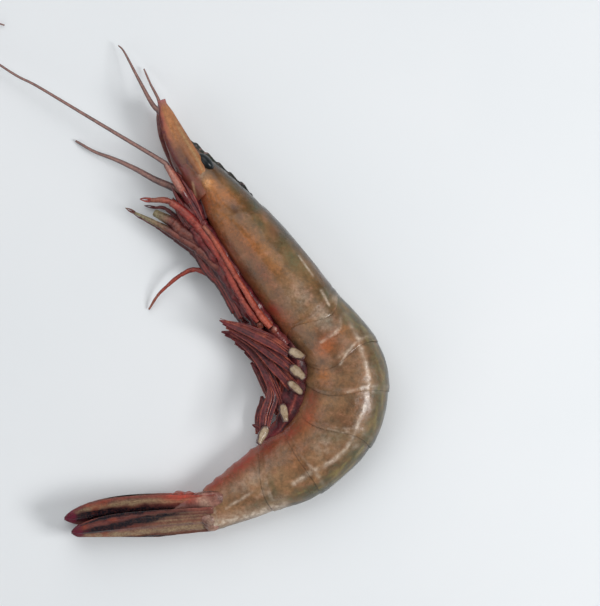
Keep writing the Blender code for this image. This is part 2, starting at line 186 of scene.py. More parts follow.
def stretched(tree, value, low, high, new_low=0.0, new_high=1.0):
    """The value, with its range from low to high stretched over a new one."""
    values = {"From Min": low, "From Max": high, "To Min": new_low, "To Max": new_high}
    return add_node(tree, "ShaderNodeMapRange", {"Value": value}, values).outputs[0]


def blended(tree, share, below, above):
    """Colour between two by a share. The first is a hex value or comes from a node."""
    links, values = {0: share}, {7: linear(above)}
    if isinstance(below, str):
        values[6] = linear(below)
    else:
        links[6] = below
    return add_node(tree, "ShaderNodeMix", links, values, data_type="RGBA").outputs[2]


def new_finish(name):
    """An empty node material, its tree and its Principled shader."""
    made = bpy.data.materials.new(name)
    made.use_nodes = True
    return made, made.node_tree, made.node_tree.nodes["Principled BSDF"]


def plain_finish(name, size, low, high, roughness):
    """Finish whose colour wanders between two, and its shader."""
    made, tree, shader = new_finish(name)
    tree.links.new(blended(tree, noise_over(tree, size, 3.0), low, high), shader.inputs["Base Color"])
    shader.inputs["Roughness"].default_value = roughness
    return made, shader


# %% Floor and lights
FLOOR_HALF_SIDE = 900.0
SKY_STRENGTH = 0.24
# Each lamp: name, place, side and power.
LAMPS = (
    ("lamp over the back", (430.0, -120.0, 420.0), 220.0, 2.1),
    ("lamp over the head", (-60.0, 420.0, 600.0), 800.0, 3.0),
    ("lamp over the belly", (-480.0, -200.0, 420.0), 500.0, 0.9),
)

floor_finish, _ = plain_finish("matt paper floor", 60.0, "#dfe3e6", "#e6e8ea", 0.9)
floor_mesh = bmesh.new()
bmesh.ops.create_grid(floor_mesh, x_segments=2, y_segments=2, size=FLOOR_HALF_SIDE * MM)
floor_data = bpy.data.meshes.new("floor")
floor_mesh.to_mesh(floor_data)
floor_mesh.free()
floor_data.materials.append(floor_finish)
floor = bpy.data.objects.new("floor", floor_data)
bpy.context.scene.collection.objects.link(floor)


def soft_lamp(name, place, side, power):
    """Square lamp that looks at the middle of the prawn."""
    data = bpy.data.lights.new(name, "AREA")
    data.size = side * MM
    data.energy = power
    lamp = bpy.data.objects.new(name, data)
    lamp.location = Vector(place) * MM
    lamp.rotation_euler = (-Vector(place)).to_track_quat("-Z", "Y").to_euler()
    bpy.context.scene.collection.objects.link(lamp)


for lamp_row in LAMPS:
    soft_lamp(*lamp_row)
sky = bpy.data.worlds.new("pale sky")
sky.use_nodes = True
sky_inputs = sky.node_tree.nodes["Background"].inputs
sky_inputs["Color"].default_value = linear("#f2f5f8")
sky_inputs["Strength"].default_value = SKY_STRENGTH
bpy.context.scene.world = sky

# %% [markdown]
# ## Rolling a grid into a body
# Shell rings, legs, feelers and blades are all skins round a path. Each starts as a flat grid
# from bmesh. One side of the grid runs round the body and the other along it: every row of the
# grid is laid on a ring, which is a rule that gives a point for each share of a turn. The seam
# and the closed ends are then merged. Each point also keeps its place across the ring and along
# the piece, so that a finish can follow the body.

# %% Rings and skins
MERGE = 0.0004
LOOK_AHEAD = 0.02
BOX_SPARE = 0.01
MARKS = ("across", "along")


def mark_layers(made):
    """The two marks of every point: its place across the ring and along the piece."""
    layers = made.verts.layers.float
    return [layers.get(mark) or layers.new(mark) for mark in MARKS]


def wrap(made, rings, around):
    """Lay a grid on the rings and close its seam. A ring maps a turn to a point and a place."""
    across, lengthwise = mark_layers(made)
    rows = len(rings) - 1
    grid = bmesh.ops.create_grid(made, x_segments=around, y_segments=rows, size=1.0)["verts"]
    for vert in grid:
        turn = (vert.co.x + 1.0) / 2.0
        row = int(round((vert.co.y + 1.0) / 2.0 * rows))
        vert.co, vert[across] = rings[row](turn)
        vert[lengthwise] = row / rows
    bmesh.ops.remove_doubles(made, verts=grid, dist=MERGE)


def balls(rows, stretch=(1.0, 1.0, 1.0)):
    """A mesh of balls, each given by its place and radius, all stretched alike."""
    made = bmesh.new()
    mark_layers(made)
    for x, y, z, size in rows:
        placed = Matrix.Translation((x, y, z)) @ Matrix.Diagonal((*stretch, 1.0))
        bmesh.ops.create_icosphere(made, subdivisions=4, radius=size, matrix=placed)
    return made


def fill_ends(made):
    """Close the open ends of a skin."""
    bmesh.ops.holes_fill(made, edges=[edge for edge in made.edges if edge.is_boundary], sides=0)


def round_ring(centre, forward, radius_plan, radius_up):
    """Ring square to a path: wide in plan by one radius and upright by the other."""
    side = UP.cross(forward).normalized()
    upright = forward.cross(side).normalized()

    def ring(turn):
        angle = 2.0 * math.pi * turn
        point = centre + side * math.cos(angle) * radius_plan + upright * math.sin(angle) * radius_up
        return point, math.sin(angle)
    return ring


def path_frames(points, spacing):
    """Even steps along the smooth curve through points: place, direction, share of the way."""
    last = len(points) - 1
    length = sum((b - a).length for a, b in zip(points, points[1:]))
    count = max(4, int(round(length / spacing)))
    frames = []
    for k in range(count + 1):
        place = last * k / count
        here = curve_through(points, place)
        ahead = curve_through(points, min(last, place + LOOK_AHEAD))
        behind = curve_through(points, max(0.0, place - LOOK_AHEAD))
        frames.append((here, (ahead - behind).normalized(), k / count))
    return frames


def closed(rings, frames):
    """The rings of a path, with a point added at each end."""
    (first, ahead, _), (last, onward, _) = frames[0], frames[-1]
    return [round_ring(first, ahead, 0.0, 0.0), *rings, round_ring(last, onward, 0.0, 0.0)]


def marks_of(mesh, name):
    """One mark of every vertex, as an array."""
    values = np.zeros(len(mesh.vertices), np.float32)
    mesh.attributes[name].data.foreach_get("value", values)
    return values


def plan_of(mesh):
    """Every vertex in plan millimetres, as an array of three columns."""
    values = np.zeros(len(mesh.vertices) * 3, np.float32)
    mesh.vertices.foreach_get("co", values)
    return values.reshape(-1, 3) / MM - np.array(PLAN_SHIFT, np.float32)


def into_box(plan):
    """Places in metres in the frame, held inside the box of the solids."""
    low = np.array(cad_low) + BOX_SPARE * MM * np.array((1, 1, 0))
    high = np.array(cad_high) - BOX_SPARE * MM
    placed = (plan + np.array(PLAN_SHIFT, np.float32)) * MM
    return np.clip(placed, low, high).astype(np.float32)


def add_piece(name, made, finish, nodes=(), relief=None, masks=None):
    """Turn a skin in plan millimetres into a piece of the prawn, and hide the solids it stands in for."""
    bmesh.ops.recalc_face_normals(made, faces=made.faces)
    bmesh.ops.translate(made, verts=made.verts, vec=PLAN_SHIFT)
    bmesh.ops.scale(made, verts=made.verts, vec=(MM, MM, MM))
    mesh = bpy.data.meshes.new(name)
    made.to_mesh(mesh)
    made.free()
    mesh.shade_smooth()
    plan = plan_of(mesh)
    mesh.vertices.foreach_set("co", into_box(plan).ravel())
    marks = [marks_of(mesh, mark) for mark in MARKS] if relief or masks else ()
    if relief:
        outward = np.zeros(len(mesh.vertices) * 3, np.float32)
        mesh.vertices.foreach_get("normal", outward)
        moved = plan + outward.reshape(-1, 3) * relief(plan, *marks)[:, None]
        mesh.vertices.foreach_set("co", into_box(moved).ravel())
        mesh.update()
    for mark, values in (masks(plan, *marks) if masks else {}).items():
        layer = mesh.attributes.new(mark, "FLOAT", "POINT")
        layer.data.foreach_set("value", np.clip(values, 0.0, 1.0).astype(np.float32))
    mesh.materials.append(finish)
    piece = bpy.data.objects.new(name, mesh)
    bpy.context.scene.collection.objects.link(piece)
    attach(piece, "root")
    if nodes:
        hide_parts(*nodes)
    print(name, "faces:", len(mesh.polygons))


# %% [markdown]
# ## Where the colours lie
# A raw prawn is not one colour. Pigment gathers in soft patches under the shell, and thin pale
# lines mark the edges of the rings. Some pale lines are painted highlights: the wet streak along
# the back is partly a pale line and partly a painted highlight, and two short lines on the shield
# are painted glints. The dark along the shield's lower edge is painted shade. Each patch is an
# oval on the plan and each line is a short chain of places. They are kept on the points as marks
# between 0 and 1, and the finish breaks their edges up with a fine grain, so none of them looks
# drawn.

# %% Patches and lines
def near_spot(plan, x, y, long, wide, heading):
    """1 at the middle of an oval patch, falling off evenly."""
    ahead = along(heading)
    dx, dy = plan[:, 0] - x, plan[:, 1] - y
    lengthwise = (dx * ahead.x + dy * ahead.y) / long
    sideways = (dy * ahead.x - dx * ahead.y) / wide
    return np.exp(-(lengthwise ** 2 + sideways ** 2))


def near_line(plan, points, width):
    """1 on a chain of places, falling off evenly beside it."""
    closest = np.full(len(plan), 1e9, np.float32)
    for (ax, ay), (bx, by) in zip(points, points[1:]):
        run = np.array((bx - ax, by - ay))
        from_a = plan[:, :2] - np.array((ax, ay))
        share = np.clip(from_a @ run / (run @ run), 0.0, 1.0)
        away = from_a - share[:, None] * run
        closest = np.minimum(closest, (away ** 2).sum(axis=1))
    return np.exp(-closest / width ** 2)


def cloudy(plan, size, seed):
    """Soft noise between 0 and 1 with lumps of a size in millimetres."""
    shift = Vector((seed, 0, 0))
    return np.array([0.5 + 0.5 * noise.noise(Vector(p) / size + shift) for p in plan.tolist()], np.float32)


def uneven(plan, height, size, seed):
    """Soft noise of a height, as much below nothing as above."""
    return height * (cloudy(plan, size, seed) - 0.5)


def lumpy(height, size, seed):
    """Relief of soft lumps alone."""
    return lambda plan, across, lengthwise: uneven(plan, height, size, seed)


LOWER_EDGE = ((-26.3, 29.1), (-25.2, 21.8), (-21.8, 17.7), (-18.7, 14.0), (-15.9, 9.4), (-13.3, 4.4),
              (-10.4, 1.0), (-8.3, -3.1), (-6.5, -7.0), (-3.9, -8.8))
BACK_EDGE = ((-23.1, 38.2), (-17.9, 33.8), (-8.6, 25.5), (1.3, 14.8), (7.3, 8.1), (9.4, 3.9))
WET_STREAK = ((11.7, -2.9), (13.0, -4.9), (15.1, -9.1), (16.4, -13.5), (17.7, -17.9), (17.9, -21.1),
              (17.2, -24.7), (15.6, -29.9), (13.8, -34.1), (12.0, -38.0), (7.8, -41.3), (2.6, -43.9),
              (-1.6, -46.8))
FIRST_FOLD = ((10.9, -2.9), (10.4, -6.2), (8.6, -8.1), (5.5, -10.1))
LAST_RIDGE = ((-22.6, -57.4), (-15.6, -55.8), (-9.9, -54.3), (-4.4, -52.2))

# Each patch: x, y, half length, half width, heading and strength.
PATCHES = {
    "orange": (
        (-23.6, 30.6, 2.8, 2.2, 127, 1.0), (-22.9, 27.4, 5.6, 3.8, 127, 0.95),
        (-19.4, 20.6, 6.0, 2.4, 127, 0.65), (-19.0, 28.0, 3.4, 1.6, 140, 0.8),
        (-13.3, 16.2, 7.5, 2.2, 138, 0.62), (-7.0, 9.6, 4.4, 1.8, 138, 0.4),
        (6.5, -11.4, 2.6, 1.9, 40, 0.85), (9.5, -8.0, 3.4, 1.5, 40, 0.4),
        (6.2, -18.7, 2.3, 1.8, 90, 0.85), (2.0, -31.0, 5.0, 1.6, 60, 0.5),
        (-19.5, -56.4, 4.2, 2.0, 205, 0.55), (-1.0, -40.0, 4.0, 3.0, 20, 0.25),
    ),
    "green": (
        (-11.4, 25.7, 2.6, 1.5, 130, 0.9), (-5.2, 17.2, 5.0, 2.0, 130, 0.8),
        (-1.8, 11.5, 4.4, 2.2, 127, 0.8), (-17.6, 30.6, 3.6, 1.6, 132, 0.7),
        (-10.0, 20.4, 3.4, 1.4, 127, 0.5), (-11.7, 10.4, 2.6, 1.5, 140, 0.55),
        (1.3, 9.0, 3.0, 1.4, 120, 0.6), (7.3, 2.0, 2.6, 2.2, 100, 0.6),
        (7.3, -4.9, 1.8, 1.6, 0, 0.45), (9.0, -34.6, 4.5, 1.8, 10, 0.5),
        (8.6, -47.1, 5.2, 1.3, 30, 0.8), (14.5, -40.0, 3.0, 1.4, 60, 0.6),
        (-24.0, 33.0, 2.0, 1.6, 120, 0.4), (-7.0, -47.5, 2.6, 0.8, 110, 0.55),
        (2.5, -21.5, 2.0, 0.9, 20, 0.3),
    ),
    "red": (
        (-7.3, -1.8, 2.6, 2.0, 140, 1.0), (-6.8, 18.5, 2.4, 1.4, 127, 0.35),
        (2.9, -24.7, 2.3, 1.8, 90, 0.65), (-2.6, -33.5, 4.0, 2.0, 40, 0.75),
        (-9.9, -36.7, 3.0, 3.4, 60, 0.75), (-15.6, -41.6, 5.5, 2.0, 40, 0.8),
        (-22.5, -46.6, 3.0, 1.6, 40, 0.8), (0.8, -14.8, 2.0, 1.0, 90, 0.35),
        (0.9, -19.8, 1.6, 1.0, 90, 0.4),
    ),
    "rose": (
        (-7.8, -34.8, 5.5, 2.6, 45, 0.75), (-14.2, -40.4, 6.0, 2.4, 45, 0.9),
        (-22.0, -45.8, 5.0, 2.6, 42, 0.9), (2.0, -29.2, 3.0, 2.0, 80, 0.6),
        (-10.5, 9.0, 9.0, 1.6, 127, 0.35), (-4.6, -4.2, 4.0, 2.4, 150, 0.5),
        (6.5, -11.0, 3.2, 2.0, 60, 0.4), (-25.4, 24.5, 4.5, 1.5, 120, 0.5),
        (-27.4, 28.6, 4.6, 2.0, 112, 0.95),
    ),
    "dark": (
        (-25.0, 37.4, 3.6, 1.9, 133, 0.9), (-16.8, 24.2, 1.9, 1.0, 120, 0.85),
        (-15.4, 22.4, 1.5, 0.8, 100, 0.6), (-13.0, 7.3, 3.4, 1.8, 127, 0.45),
        (-22.0, 33.4, 2.2, 1.0, 130, 0.6), (-18.4, 15.0, 3.0, 1.0, 127, 0.3),
        (6.0, -15.1, 1.0, 0.7, 0, 0.55), (-15.9, -57.5, 1.0, 0.7, 205, 0.6),
        (-5.4, -53.6, 1.3, 0.6, 205, 0.6), (-23.9, -58.5, 1.2, 0.7, 200, 0.6),
    ),
    "pale": (
        (5.6, -3.4, 3.4, 2.4, 127, 0.4), (6.5, -36.5, 4.0, 2.5, 40, 0.28),
        (-13.0, -46.5, 6.0, 2.4, 205, 0.2), (20.3, -22.6, 2.0, 1.1, 20, 0.6),
        (15.1, -37.2, 1.8, 1.5, 45, 0.65), (-0.6, 1.6, 4.6, 3.2, 127, 0.3),
        (-9.9, -49.1, 2.0, 1.3, 60, 0.4), (-9.1, -54.9, 0.4, 0.3, 0, 0.8),
        (9.4, 1.4, 2.0, 1.6, 120, 0.45),
    ),
}
# Each line: its places, half width and strength.
LINES = {
    "red": ((LOWER_EDGE, 1.7, 0.6),),
    # The dark along the lower edge of the shield is painted shade where the shell curves in under itself.
    "dark": ((LOWER_EDGE, 1.3, 0.3), (BACK_EDGE, 1.9, 0.85)),
    "pale": (
        # The pale along the wet streak is partly the shell's own pale line and partly a painted highlight.
        (WET_STREAK, 0.60, 0.68), (LAST_RIDGE, 1.3, 0.85), (FIRST_FOLD, 0.32, 0.55),
        # The next two short lines on the shield are painted highlights.
        (((-0.3, 12.2), (1.6, 9.6), (3.4, 7.0)), 0.22, 0.7),
        (((5.5, 3.1), (6.5, 1.3), (7.5, -0.5)), 0.35, 0.8),
        (((14.8, -9.9), (12.2, -12.7), (10.4, -15.9)), 0.3, 0.75),
        (((16.1, -21.8), (12.2, -23.1)), 0.3, 0.75),
        (((13.8, -33.3), (11.2, -33.5), (7.3, -32.5)), 0.28, 0.4),
        # The streak on the last ring is partly a pale line and partly a painted highlight.
        (((-11.4, -48.6), (-15.6, -51.0), (-19.2, -53.3)), 0.4, 0.5),
        (((-27.8, 31.2), (-26.8, 26.0), (-25.2, 21.3)), 0.28, 0.7),
        # The band beside the eye is partly the lower rim of the socket and partly a painted highlight.
        (((-30.2, 40.8), (-27.0, 35.9), (-24.6, 31.8)), 0.7, 0.5),
    ),
}


def shell_masks(plan):
    """Every colour mark of a piece of shell."""
    masks = {}
    for mark, spots in PATCHES.items():
        parts = [strength * near_spot(plan, *spot) for *spot, strength in spots]
        parts += [strength * near_line(plan, points, width)
                  for points, width, strength in LINES.get(mark, ())]
        masks[mark] = np.maximum.reduce(parts)
    return masks


# %% [markdown]
# ## The finish of the shell
# The shell is chitin, a thin clear skin over brown flesh, and it is wet. Its base is a taupe
# brown with clouds of darker pigment, and the colour marks are laid over it one after the
# other. A clear coat gives the sharp wet glints, and fine bumps of about a millimetre break
# them up.

# %% Wet shell
WET_INDEX, WET_SPECULAR, COAT_ROUGHNESS = 1.5, 0.3, 0.14
GRAIN_STRENGTH, GRAIN_DEPTH = 0.35, 0.25
BLOTCH_SIZE = 2.6


def lay_colour(tree, below, mark, colour, strength, broken):
    """Lay a colour over what is below, where the mark says, with its edge broken up."""
    where = add_node(tree, "ShaderNodeAttribute", attribute_name=mark)
    part = add_node(tree, "ShaderNodeMath", {0: where.outputs["Fac"], 1: broken}, operation="MULTIPLY")
    amount = add_node(tree, "ShaderNodeMath", {0: part.outputs[0]}, {1: strength}, operation="MULTIPLY",
                      use_clamp=True)
    return blended(tree, amount.outputs[0], below, colour)


def chitin(name, light, deep, colours, cloud_size=7.0, grain_size=0.8, rough=(0.2, 0.42), mottle=(),
           coat=0.28):
    """Wet shell: two clouded browns, mottling, colour marks, a fine grain and a clear coat."""
    made, tree, shader = new_finish(name)
    cloud = noise_over(tree, cloud_size, 5.0, 0.62)
    grain = noise_over(tree, grain_size, 4.0, 0.6)
    base = blended(tree, stretched(tree, cloud, 0.36, 0.66), deep, light)
    if mottle:
        blotch = noise_over(tree, BLOTCH_SIZE, 6.0, 0.7)
        for colour, low, high, strength in mottle:
            base = blended(tree, stretched(tree, blotch, low, high, 0.0, strength), base, colour)
    broken = stretched(tree, grain, 0.25, 0.75, 0.45, 1.35)
    for mark, colour, strength in colours:
        base = lay_colour(tree, base, mark, colour, strength, broken)
    shade = stretched(tree, grain, 0.3, 0.7, 0.80, 1.14)
    toned = add_node(tree, "ShaderNodeVectorMath", {0: base, "Scale": shade}, operation="SCALE")
    bumps = add_node(tree, "ShaderNodeBump", {"Height": grain},
                     {"Strength": GRAIN_STRENGTH, "Distance": GRAIN_DEPTH * MM})
    for key, source in (("Base Color", toned.outputs[0]), ("Normal", bumps.outputs[0]),
                        ("Roughness", stretched(tree, cloud, 0.3, 0.7, *rough))):
        tree.links.new(source, shader.inputs[key])
    for key, value in (("IOR", WET_INDEX), ("Specular IOR Level", WET_SPECULAR),
                       ("Coat Weight", coat), ("Coat Roughness", COAT_ROUGHNESS)):
        shader.inputs[key].default_value = value
    return made


# Each mark with its colour and strength, and each tone of the mottling with its range.
# The pale colour also paints highlights laid as pale lines: along the wet streak and on the shield.
SHELL_COLOURS = (
    ("green", "#4c573f", 0.8), ("orange", "#ad652c", 0.8), ("rose", "#a3493a", 0.85),
    ("red", "#84281e", 0.9), ("dark", "#38211d", 0.85), ("pale", "#cdbba8", 0.85),
)
SHELL_MOTTLE = (("#4e4433", 0.50, 0.34, 0.6), ("#a8765a", 0.52, 0.68, 0.5))
# The peach on the knob behind the eye is partly its own colour and partly a painted highlight.
shell = chitin("wet chitin of the shell", "#8a643d", "#604223", SHELL_COLOURS + (
    ("peach", "#d39a66", 0.9), ("crest", "#1f241e", 0.9)), mottle=SHELL_MOTTLE)
back_shell = chitin("wet chitin of the abdomen", "#906c4a", "#6b4b33", SHELL_COLOURS + (
    ("band", "#50523f", 0.8), ("fleck", "#948250", 0.5), ("spine", "#2c2e29", 0.85)), mottle=SHELL_MOTTLE)

# %% [markdown]
# ## Rings of the body
# The body is bent in plan, and its rings tilt round the bend. Each ring of the shell runs from
# a point on the back to a point on the belly, is nearly as thick as it is deep, and bows
# towards the tail in the middle of each side. The same few measures as in the solids give the
# rings here, only many more of them.

# %% Measures of the abdomen
RING_EDGE = 1.006
CARAPACE_REAR = Vector((2.7, -2.7))
CARAPACE_TILT = 43.0
CARAPACE_DEPTH = 18.0
CARAPACE_LENGTH = 46.5
CARAPACE_HEADING = 127.5
CARAPACE_HALF_WIDTH = 8.7
CREST_DROP = 0.7
GAP = 0.3

# One row for each ring of the abdomen: length along the middle, heading of the middle line,
# then depth, tilt, half width and mid-plane height of the rear edge.
ABDOMEN = (
    (12.2, -50.8, 19.9, 15.1, 8.75, 8.55),
    (9.3, -78.7, 21.9, -5.4, 8.65, 8.50),
    (11.2, -105.5, 21.5, -28.1, 8.2, 8.10),
    (12.0, -133.7, 19.9, -59.4, 7.3, 7.20),
    (10.1, -154.1, 18.2, -76.0, 6.3, 6.40),
    (19.4, -150.4, 10.4, -71.0, 4.0, 6.10),
)
# How square the shell is on its back half and its belly half, and how much the belly narrows.
BACK_SQUARE, BELLY_SQUARE, BELLY_NARROWING = 0.85, 0.72, 0.16
# How far each edge bows towards the tail at the middle of the side, and its skew to the back.
SEAMS = ((2.1, 5.0), (2.2, -5.0), (1.8, -3.0), (0.8, -4.0), (0.5, -1.0), (1.5, 1.0), (0.0, 0.0))


def abdomen_edges():
    """Back and belly points, half widths and heights at the seven edges of the abdomen."""
    centre = CARAPACE_REAR.copy()
    reach = along(CARAPACE_TILT) * CARAPACE_DEPTH / 2.0
    back, belly = [centre + reach], [centre - reach]
    widths, heights = [CARAPACE_HALF_WIDTH], [REST_HEIGHT]
    for length, heading, depth, tilt, half_width, height in ABDOMEN:
        centre = centre + along(heading) * length
        reach = along(tilt) * depth / 2.0
        back.append(centre + reach)
        belly.append(centre - reach)
        widths.append(half_width)
        heights.append(height)
    return back, belly, widths, heights


BACK, BELLY, WIDTHS, HEIGHTS = abdomen_edges()


def shell_ring(centre, reach, half_width, height, tail, middle, skew, fullness):
    """Ring of shell round the body: reach is half its depth, from the middle to the back."""
    def ring(turn):
        angle = 2.0 * math.pi * turn
        upward = -math.cos(angle)
        sideways = math.sin(angle)
        swell = abs(sideways) ** (BACK_SQUARE if upward > 0.0 else BELLY_SQUARE)
        narrowing = 1.0 - BELLY_NARROWING * max(0.0, -upward) ** 1.5
        place = upward * fullness
        bow = (1.0 - place * place) * (middle + skew * place)
        plan = centre + reach * upward + tail * bow
        z = height + math.copysign(swell * narrowing * half_width, sideways)
        return Vector((plan.x, plan.y, max(0.0, z))), upward
    return ring


def abdomen_ring(place, fullness):
    """Ring of the abdomen at a place between edge 0 and edge 6."""
    back = curve_through(BACK, place)
    belly = curve_through(BELLY, place)
    half_width = curve_through(WIDTHS, place)
    across = back - belly
    tail = along(math.degrees(math.atan2(across.y, across.x)) - 90.0)
    return shell_ring(
        (back + belly) / 2.0, across / 2.0 * fullness, half_width * fullness,
        curve_through(HEIGHTS, place), tail, curve_through([seam[0] for seam in SEAMS], place),
        curve_through([seam[1] for seam in SEAMS], place), fullness / RING_EDGE,
    )


# %% [markdown]
# ## Rings of the abdomen
# Six rings of shell slide into each other like the tubes of a telescope: each one's rear edge
# is a thin lip over the front of the next. A lofted tube with its wall turned in at the rear
# shows that lip and the dark step below it. Low bumps of flesh, the rim at the lip and the
# fold on the first ring are moved out of the skin afterwards.

# %% Abdomen
AROUND = 150
LIP = 0.45
TUCK = 0.9
INNER_WALL = 0.1
ROW_SPACING = 0.32


def ring_stations(number, length):
    """Place and fullness of every row of one ring of shell, from its front to inside its lip."""
    start = number - 1
    front = start - TUCK / length
    stations = [(front, 0.0), (front, 0.5), (front, 0.955), (front + 0.02, 0.972)]
    rows = int(round(length / ROW_SPACING))
    for k in range(rows + 1):
        t = k / rows
        fullness = 0.980 + 0.020 * smooth_step(0.0, 0.45, t) + 0.007 * smooth_step(0.7, 1.0, t)
        stations.append((start + t, fullness))
    lip = number + LIP / length
    stations += [(lip, 1.007), (lip + 0.010, 1.003), (lip + 0.007, 0.998), (number, 0.992),
                 (number - INNER_WALL, 0.965), (number - INNER_WALL, 0.5), (number - INNER_WALL, 0.0)]
    return stations


def last_stations(length):
    """Rows of the last ring, which closes round the root of the tail fan."""
    stations = [station for station in ring_stations(6, length) if station[0] <= 5.93]
    for t, fullness in ((0.95, 1.0), (0.975, 0.97), (0.99, 0.9), (1.0, 0.8), (1.0, 0.4), (1.0, 0.0)):
        stations.append((5.0 + t, fullness))
    return stations


# Small points along the belly margin of the last rings: place and height.
MARGIN_POINTS = ((-12.9, -38.0, 0.5), (-15.6, -38.9, 0.8), (-17.6, -41.6, 0.4), (-19.2, -42.6, 0.7),
                 (-22.0, -45.3, 0.5), (-24.6, -47.6, 0.4))


def abdomen_relief(plan, across, lengthwise):
    """Low lumps of flesh under the shell, a rim at each lip, the fold and the margin's points."""
    lumps = uneven(plan, 0.22, 5.0, 3.0) + uneven(plan, 0.10, 1.6, 8.0)
    streak = 0.16 * near_line(plan, WET_STREAK, 0.7) * cloudy(plan, 1.4, 9.0)
    fold = 0.16 * near_line(plan, FIRST_FOLD, 0.5)
    lip = 0.06 * hump(lengthwise, 0.78, 0.03)
    points = sum(height * near_spot(plan, x, y, 0.9, 0.7, 45) for x, y, height in MARGIN_POINTS)
    return lumps + streak + fold + lip + points * ramp(-across, 0.75, 0.25)


def abdomen_masks(plan, across, lengthwise):
    """Colour marks of a ring, with the olive band along the back, the pale lip and the last ridge."""
    masks = shell_masks(plan)
    wavy = uneven(plan, 0.22, 3.4, 21.0) + uneven(plan, 0.12, 1.2, 22.0)
    drawn_out = np.stack((across * 5.0, lengthwise * 2.2, plan[:, 2] * 0.2), axis=1)
    masks["band"] = ramp(across + wavy, 0.52, 0.22) * (0.35 + 1.1 * cloudy(plan, 2.2, 23.0))
    masks["fleck"] = ramp(across, 0.55, 0.2) * ramp(cloudy(drawn_out, 0.5, 24.0), 0.52, 0.2)
    specks = ramp(across, 0.6, 0.2) * np.clip(cloudy(drawn_out, 0.6, 27.0) * 6.0 - 3.6, 0.0, 1.0)
    masks["dark"] = np.maximum(masks["dark"], 0.7 * specks)
    masks["spine"] = ramp(across + 0.5 * wavy, 0.90, 0.08)
    lip = hump(lengthwise, 0.80, 0.025) * ramp(across, -0.3, 0.8)
    # The pale mark here carries the painted highlight of the wet streak as well as the pale lip.
    pale = np.maximum(masks["pale"], 0.55 * lip) * np.clip(3.2 * cloudy(plan, 1.6, 5.0) - 0.7, 0.25, 1.2)
    ridge = near_line(plan, LAST_RIDGE, 2.0)
    for mark in ("band", "fleck", "spine", "dark", "green"):
        masks[mark] = masks[mark] * (1.0 - 0.9 * ridge)
    masks["pale"] = np.maximum(pale, 0.6 * ridge * (0.4 + cloudy(plan, 1.4, 28.0)))
    return masks


for number, row in enumerate(ABDOMEN, start=1):
    stations = last_stations(row[0]) if number == 6 else ring_stations(number, row[0])
    skin = bmesh.new()
    wrap(skin, [abdomen_ring(place, fullness) for place, fullness in stations], AROUND)
    add_piece(f"belly_ring_{number}", skin, back_shell, [f"abdomen_{number}"],
              abdomen_relief, abdomen_masks)

# %% [markdown]
# ## The head shield
# One stiff shell covers the head and the chest, from the eyes to the first ring of the
# abdomen. It hangs down each side to a thin free edge over the gills. It is lofted like the
# abdomen, with its rear lip and its front edge turned in. Shallow furrows mark where the
# muscles are fixed inside, and a round knob sits behind the eye.


# %% Head shield
# Towards the front the shield turns, gets less deep and then closes, and swells before it narrows.
FRONT_TURN, FRONT_TAPER, FRONT_CLOSE = 37.0, 0.12, 0.34
FRONT_SWELL, FRONT_PINCH = 0.12, 0.56


def carapace_edge(t):
    """Middle of the carapace in plan, half its depth as a vector, and its tilt."""
    centre = CARAPACE_REAR + along(CARAPACE_HEADING) * CARAPACE_LENGTH * t
    centre = centre + along(CARAPACE_TILT + 90.0) * GAP / 2.0
    tilt = CARAPACE_TILT + FRONT_TURN * abs(t) ** 4
    depth = CARAPACE_DEPTH * (1.0 - FRONT_TAPER * t - FRONT_CLOSE * abs(t) ** 4)
    return centre, along(tilt) * depth / 2.0, tilt


def carapace_ring(t, fullness=1.0):
    """Ring of the carapace, t = 0 at its rear edge and 1 at its front."""
    centre, reach, tilt = carapace_edge(t)
    half_width = CARAPACE_HALF_WIDTH * (1.0 + FRONT_SWELL * t - FRONT_PINCH * abs(t) ** 3)
    fade = (1.0 - t) ** 3
    drop = along(tilt) * CREST_DROP * smooth_step(0.42, 0.68, t)
    middle, skew = SEAMS[0]
    return shell_ring(
        centre - drop / 2.0, (reach - drop / 2.0) * fullness, half_width * fullness, REST_HEIGHT,
        along(tilt - 90.0), middle * fade, skew * fade, fullness,
    )


CARAPACE_ROWS = 150
rear = -LIP / CARAPACE_LENGTH
carapace_stations = [(0.03, 0.0), (0.03, 0.5), (0.03, 0.955), (0.0, 0.97), (rear - 0.002, 0.985),
                     (rear, 1.0)]
carapace_stations += [(k / CARAPACE_ROWS, 1.0) for k in range(CARAPACE_ROWS + 1)]
carapace_stations += [(1.003, 0.985), (1.0, 0.965), (0.97, 0.94), (0.90, 0.93), (0.90, 0.5), (0.90, 0.0)]

CERVICAL_FURROW = ((-24.0, 25.5), (-20.5, 24.0), (-17.5, 22.5), (-14.0, 23.5), (-11.0, 25.0))
GILL_FURROW = ((-25.0, 28.2), (-20.0, 20.5), (-12.0, 10.5), (-5.0, 0.5))
REAR_FURROW = ((9.0, 5.0), (7.2, 1.0), (3.0, -3.0), (-1.5, -6.0))


# Each furrow: its places, half width and depth.
FURROWS = ((CERVICAL_FURROW, 1.1, 0.35), (GILL_FURROW, 1.6, 0.18), (REAR_FURROW, 0.45, 0.16))
KNOB_PLACE = (-23.9, 30.9)


def carapace_relief(plan, across, lengthwise):
    """Furrows, the knob behind the eye, the rim and soft lumps of the head shield."""
    lumps = uneven(plan, 0.30, 6.5, 1.0) + uneven(plan, 0.10, 1.7, 2.0)
    furrows = sum(depth * near_line(plan, points, width) for points, width, depth in FURROWS)
    knob = 0.75 * near_spot(plan, *KNOB_PLACE, 1.6, 1.2, 127)
    rim = 0.22 * near_line(plan, LOWER_EDGE, 0.6)
    return lumps - furrows + knob + rim


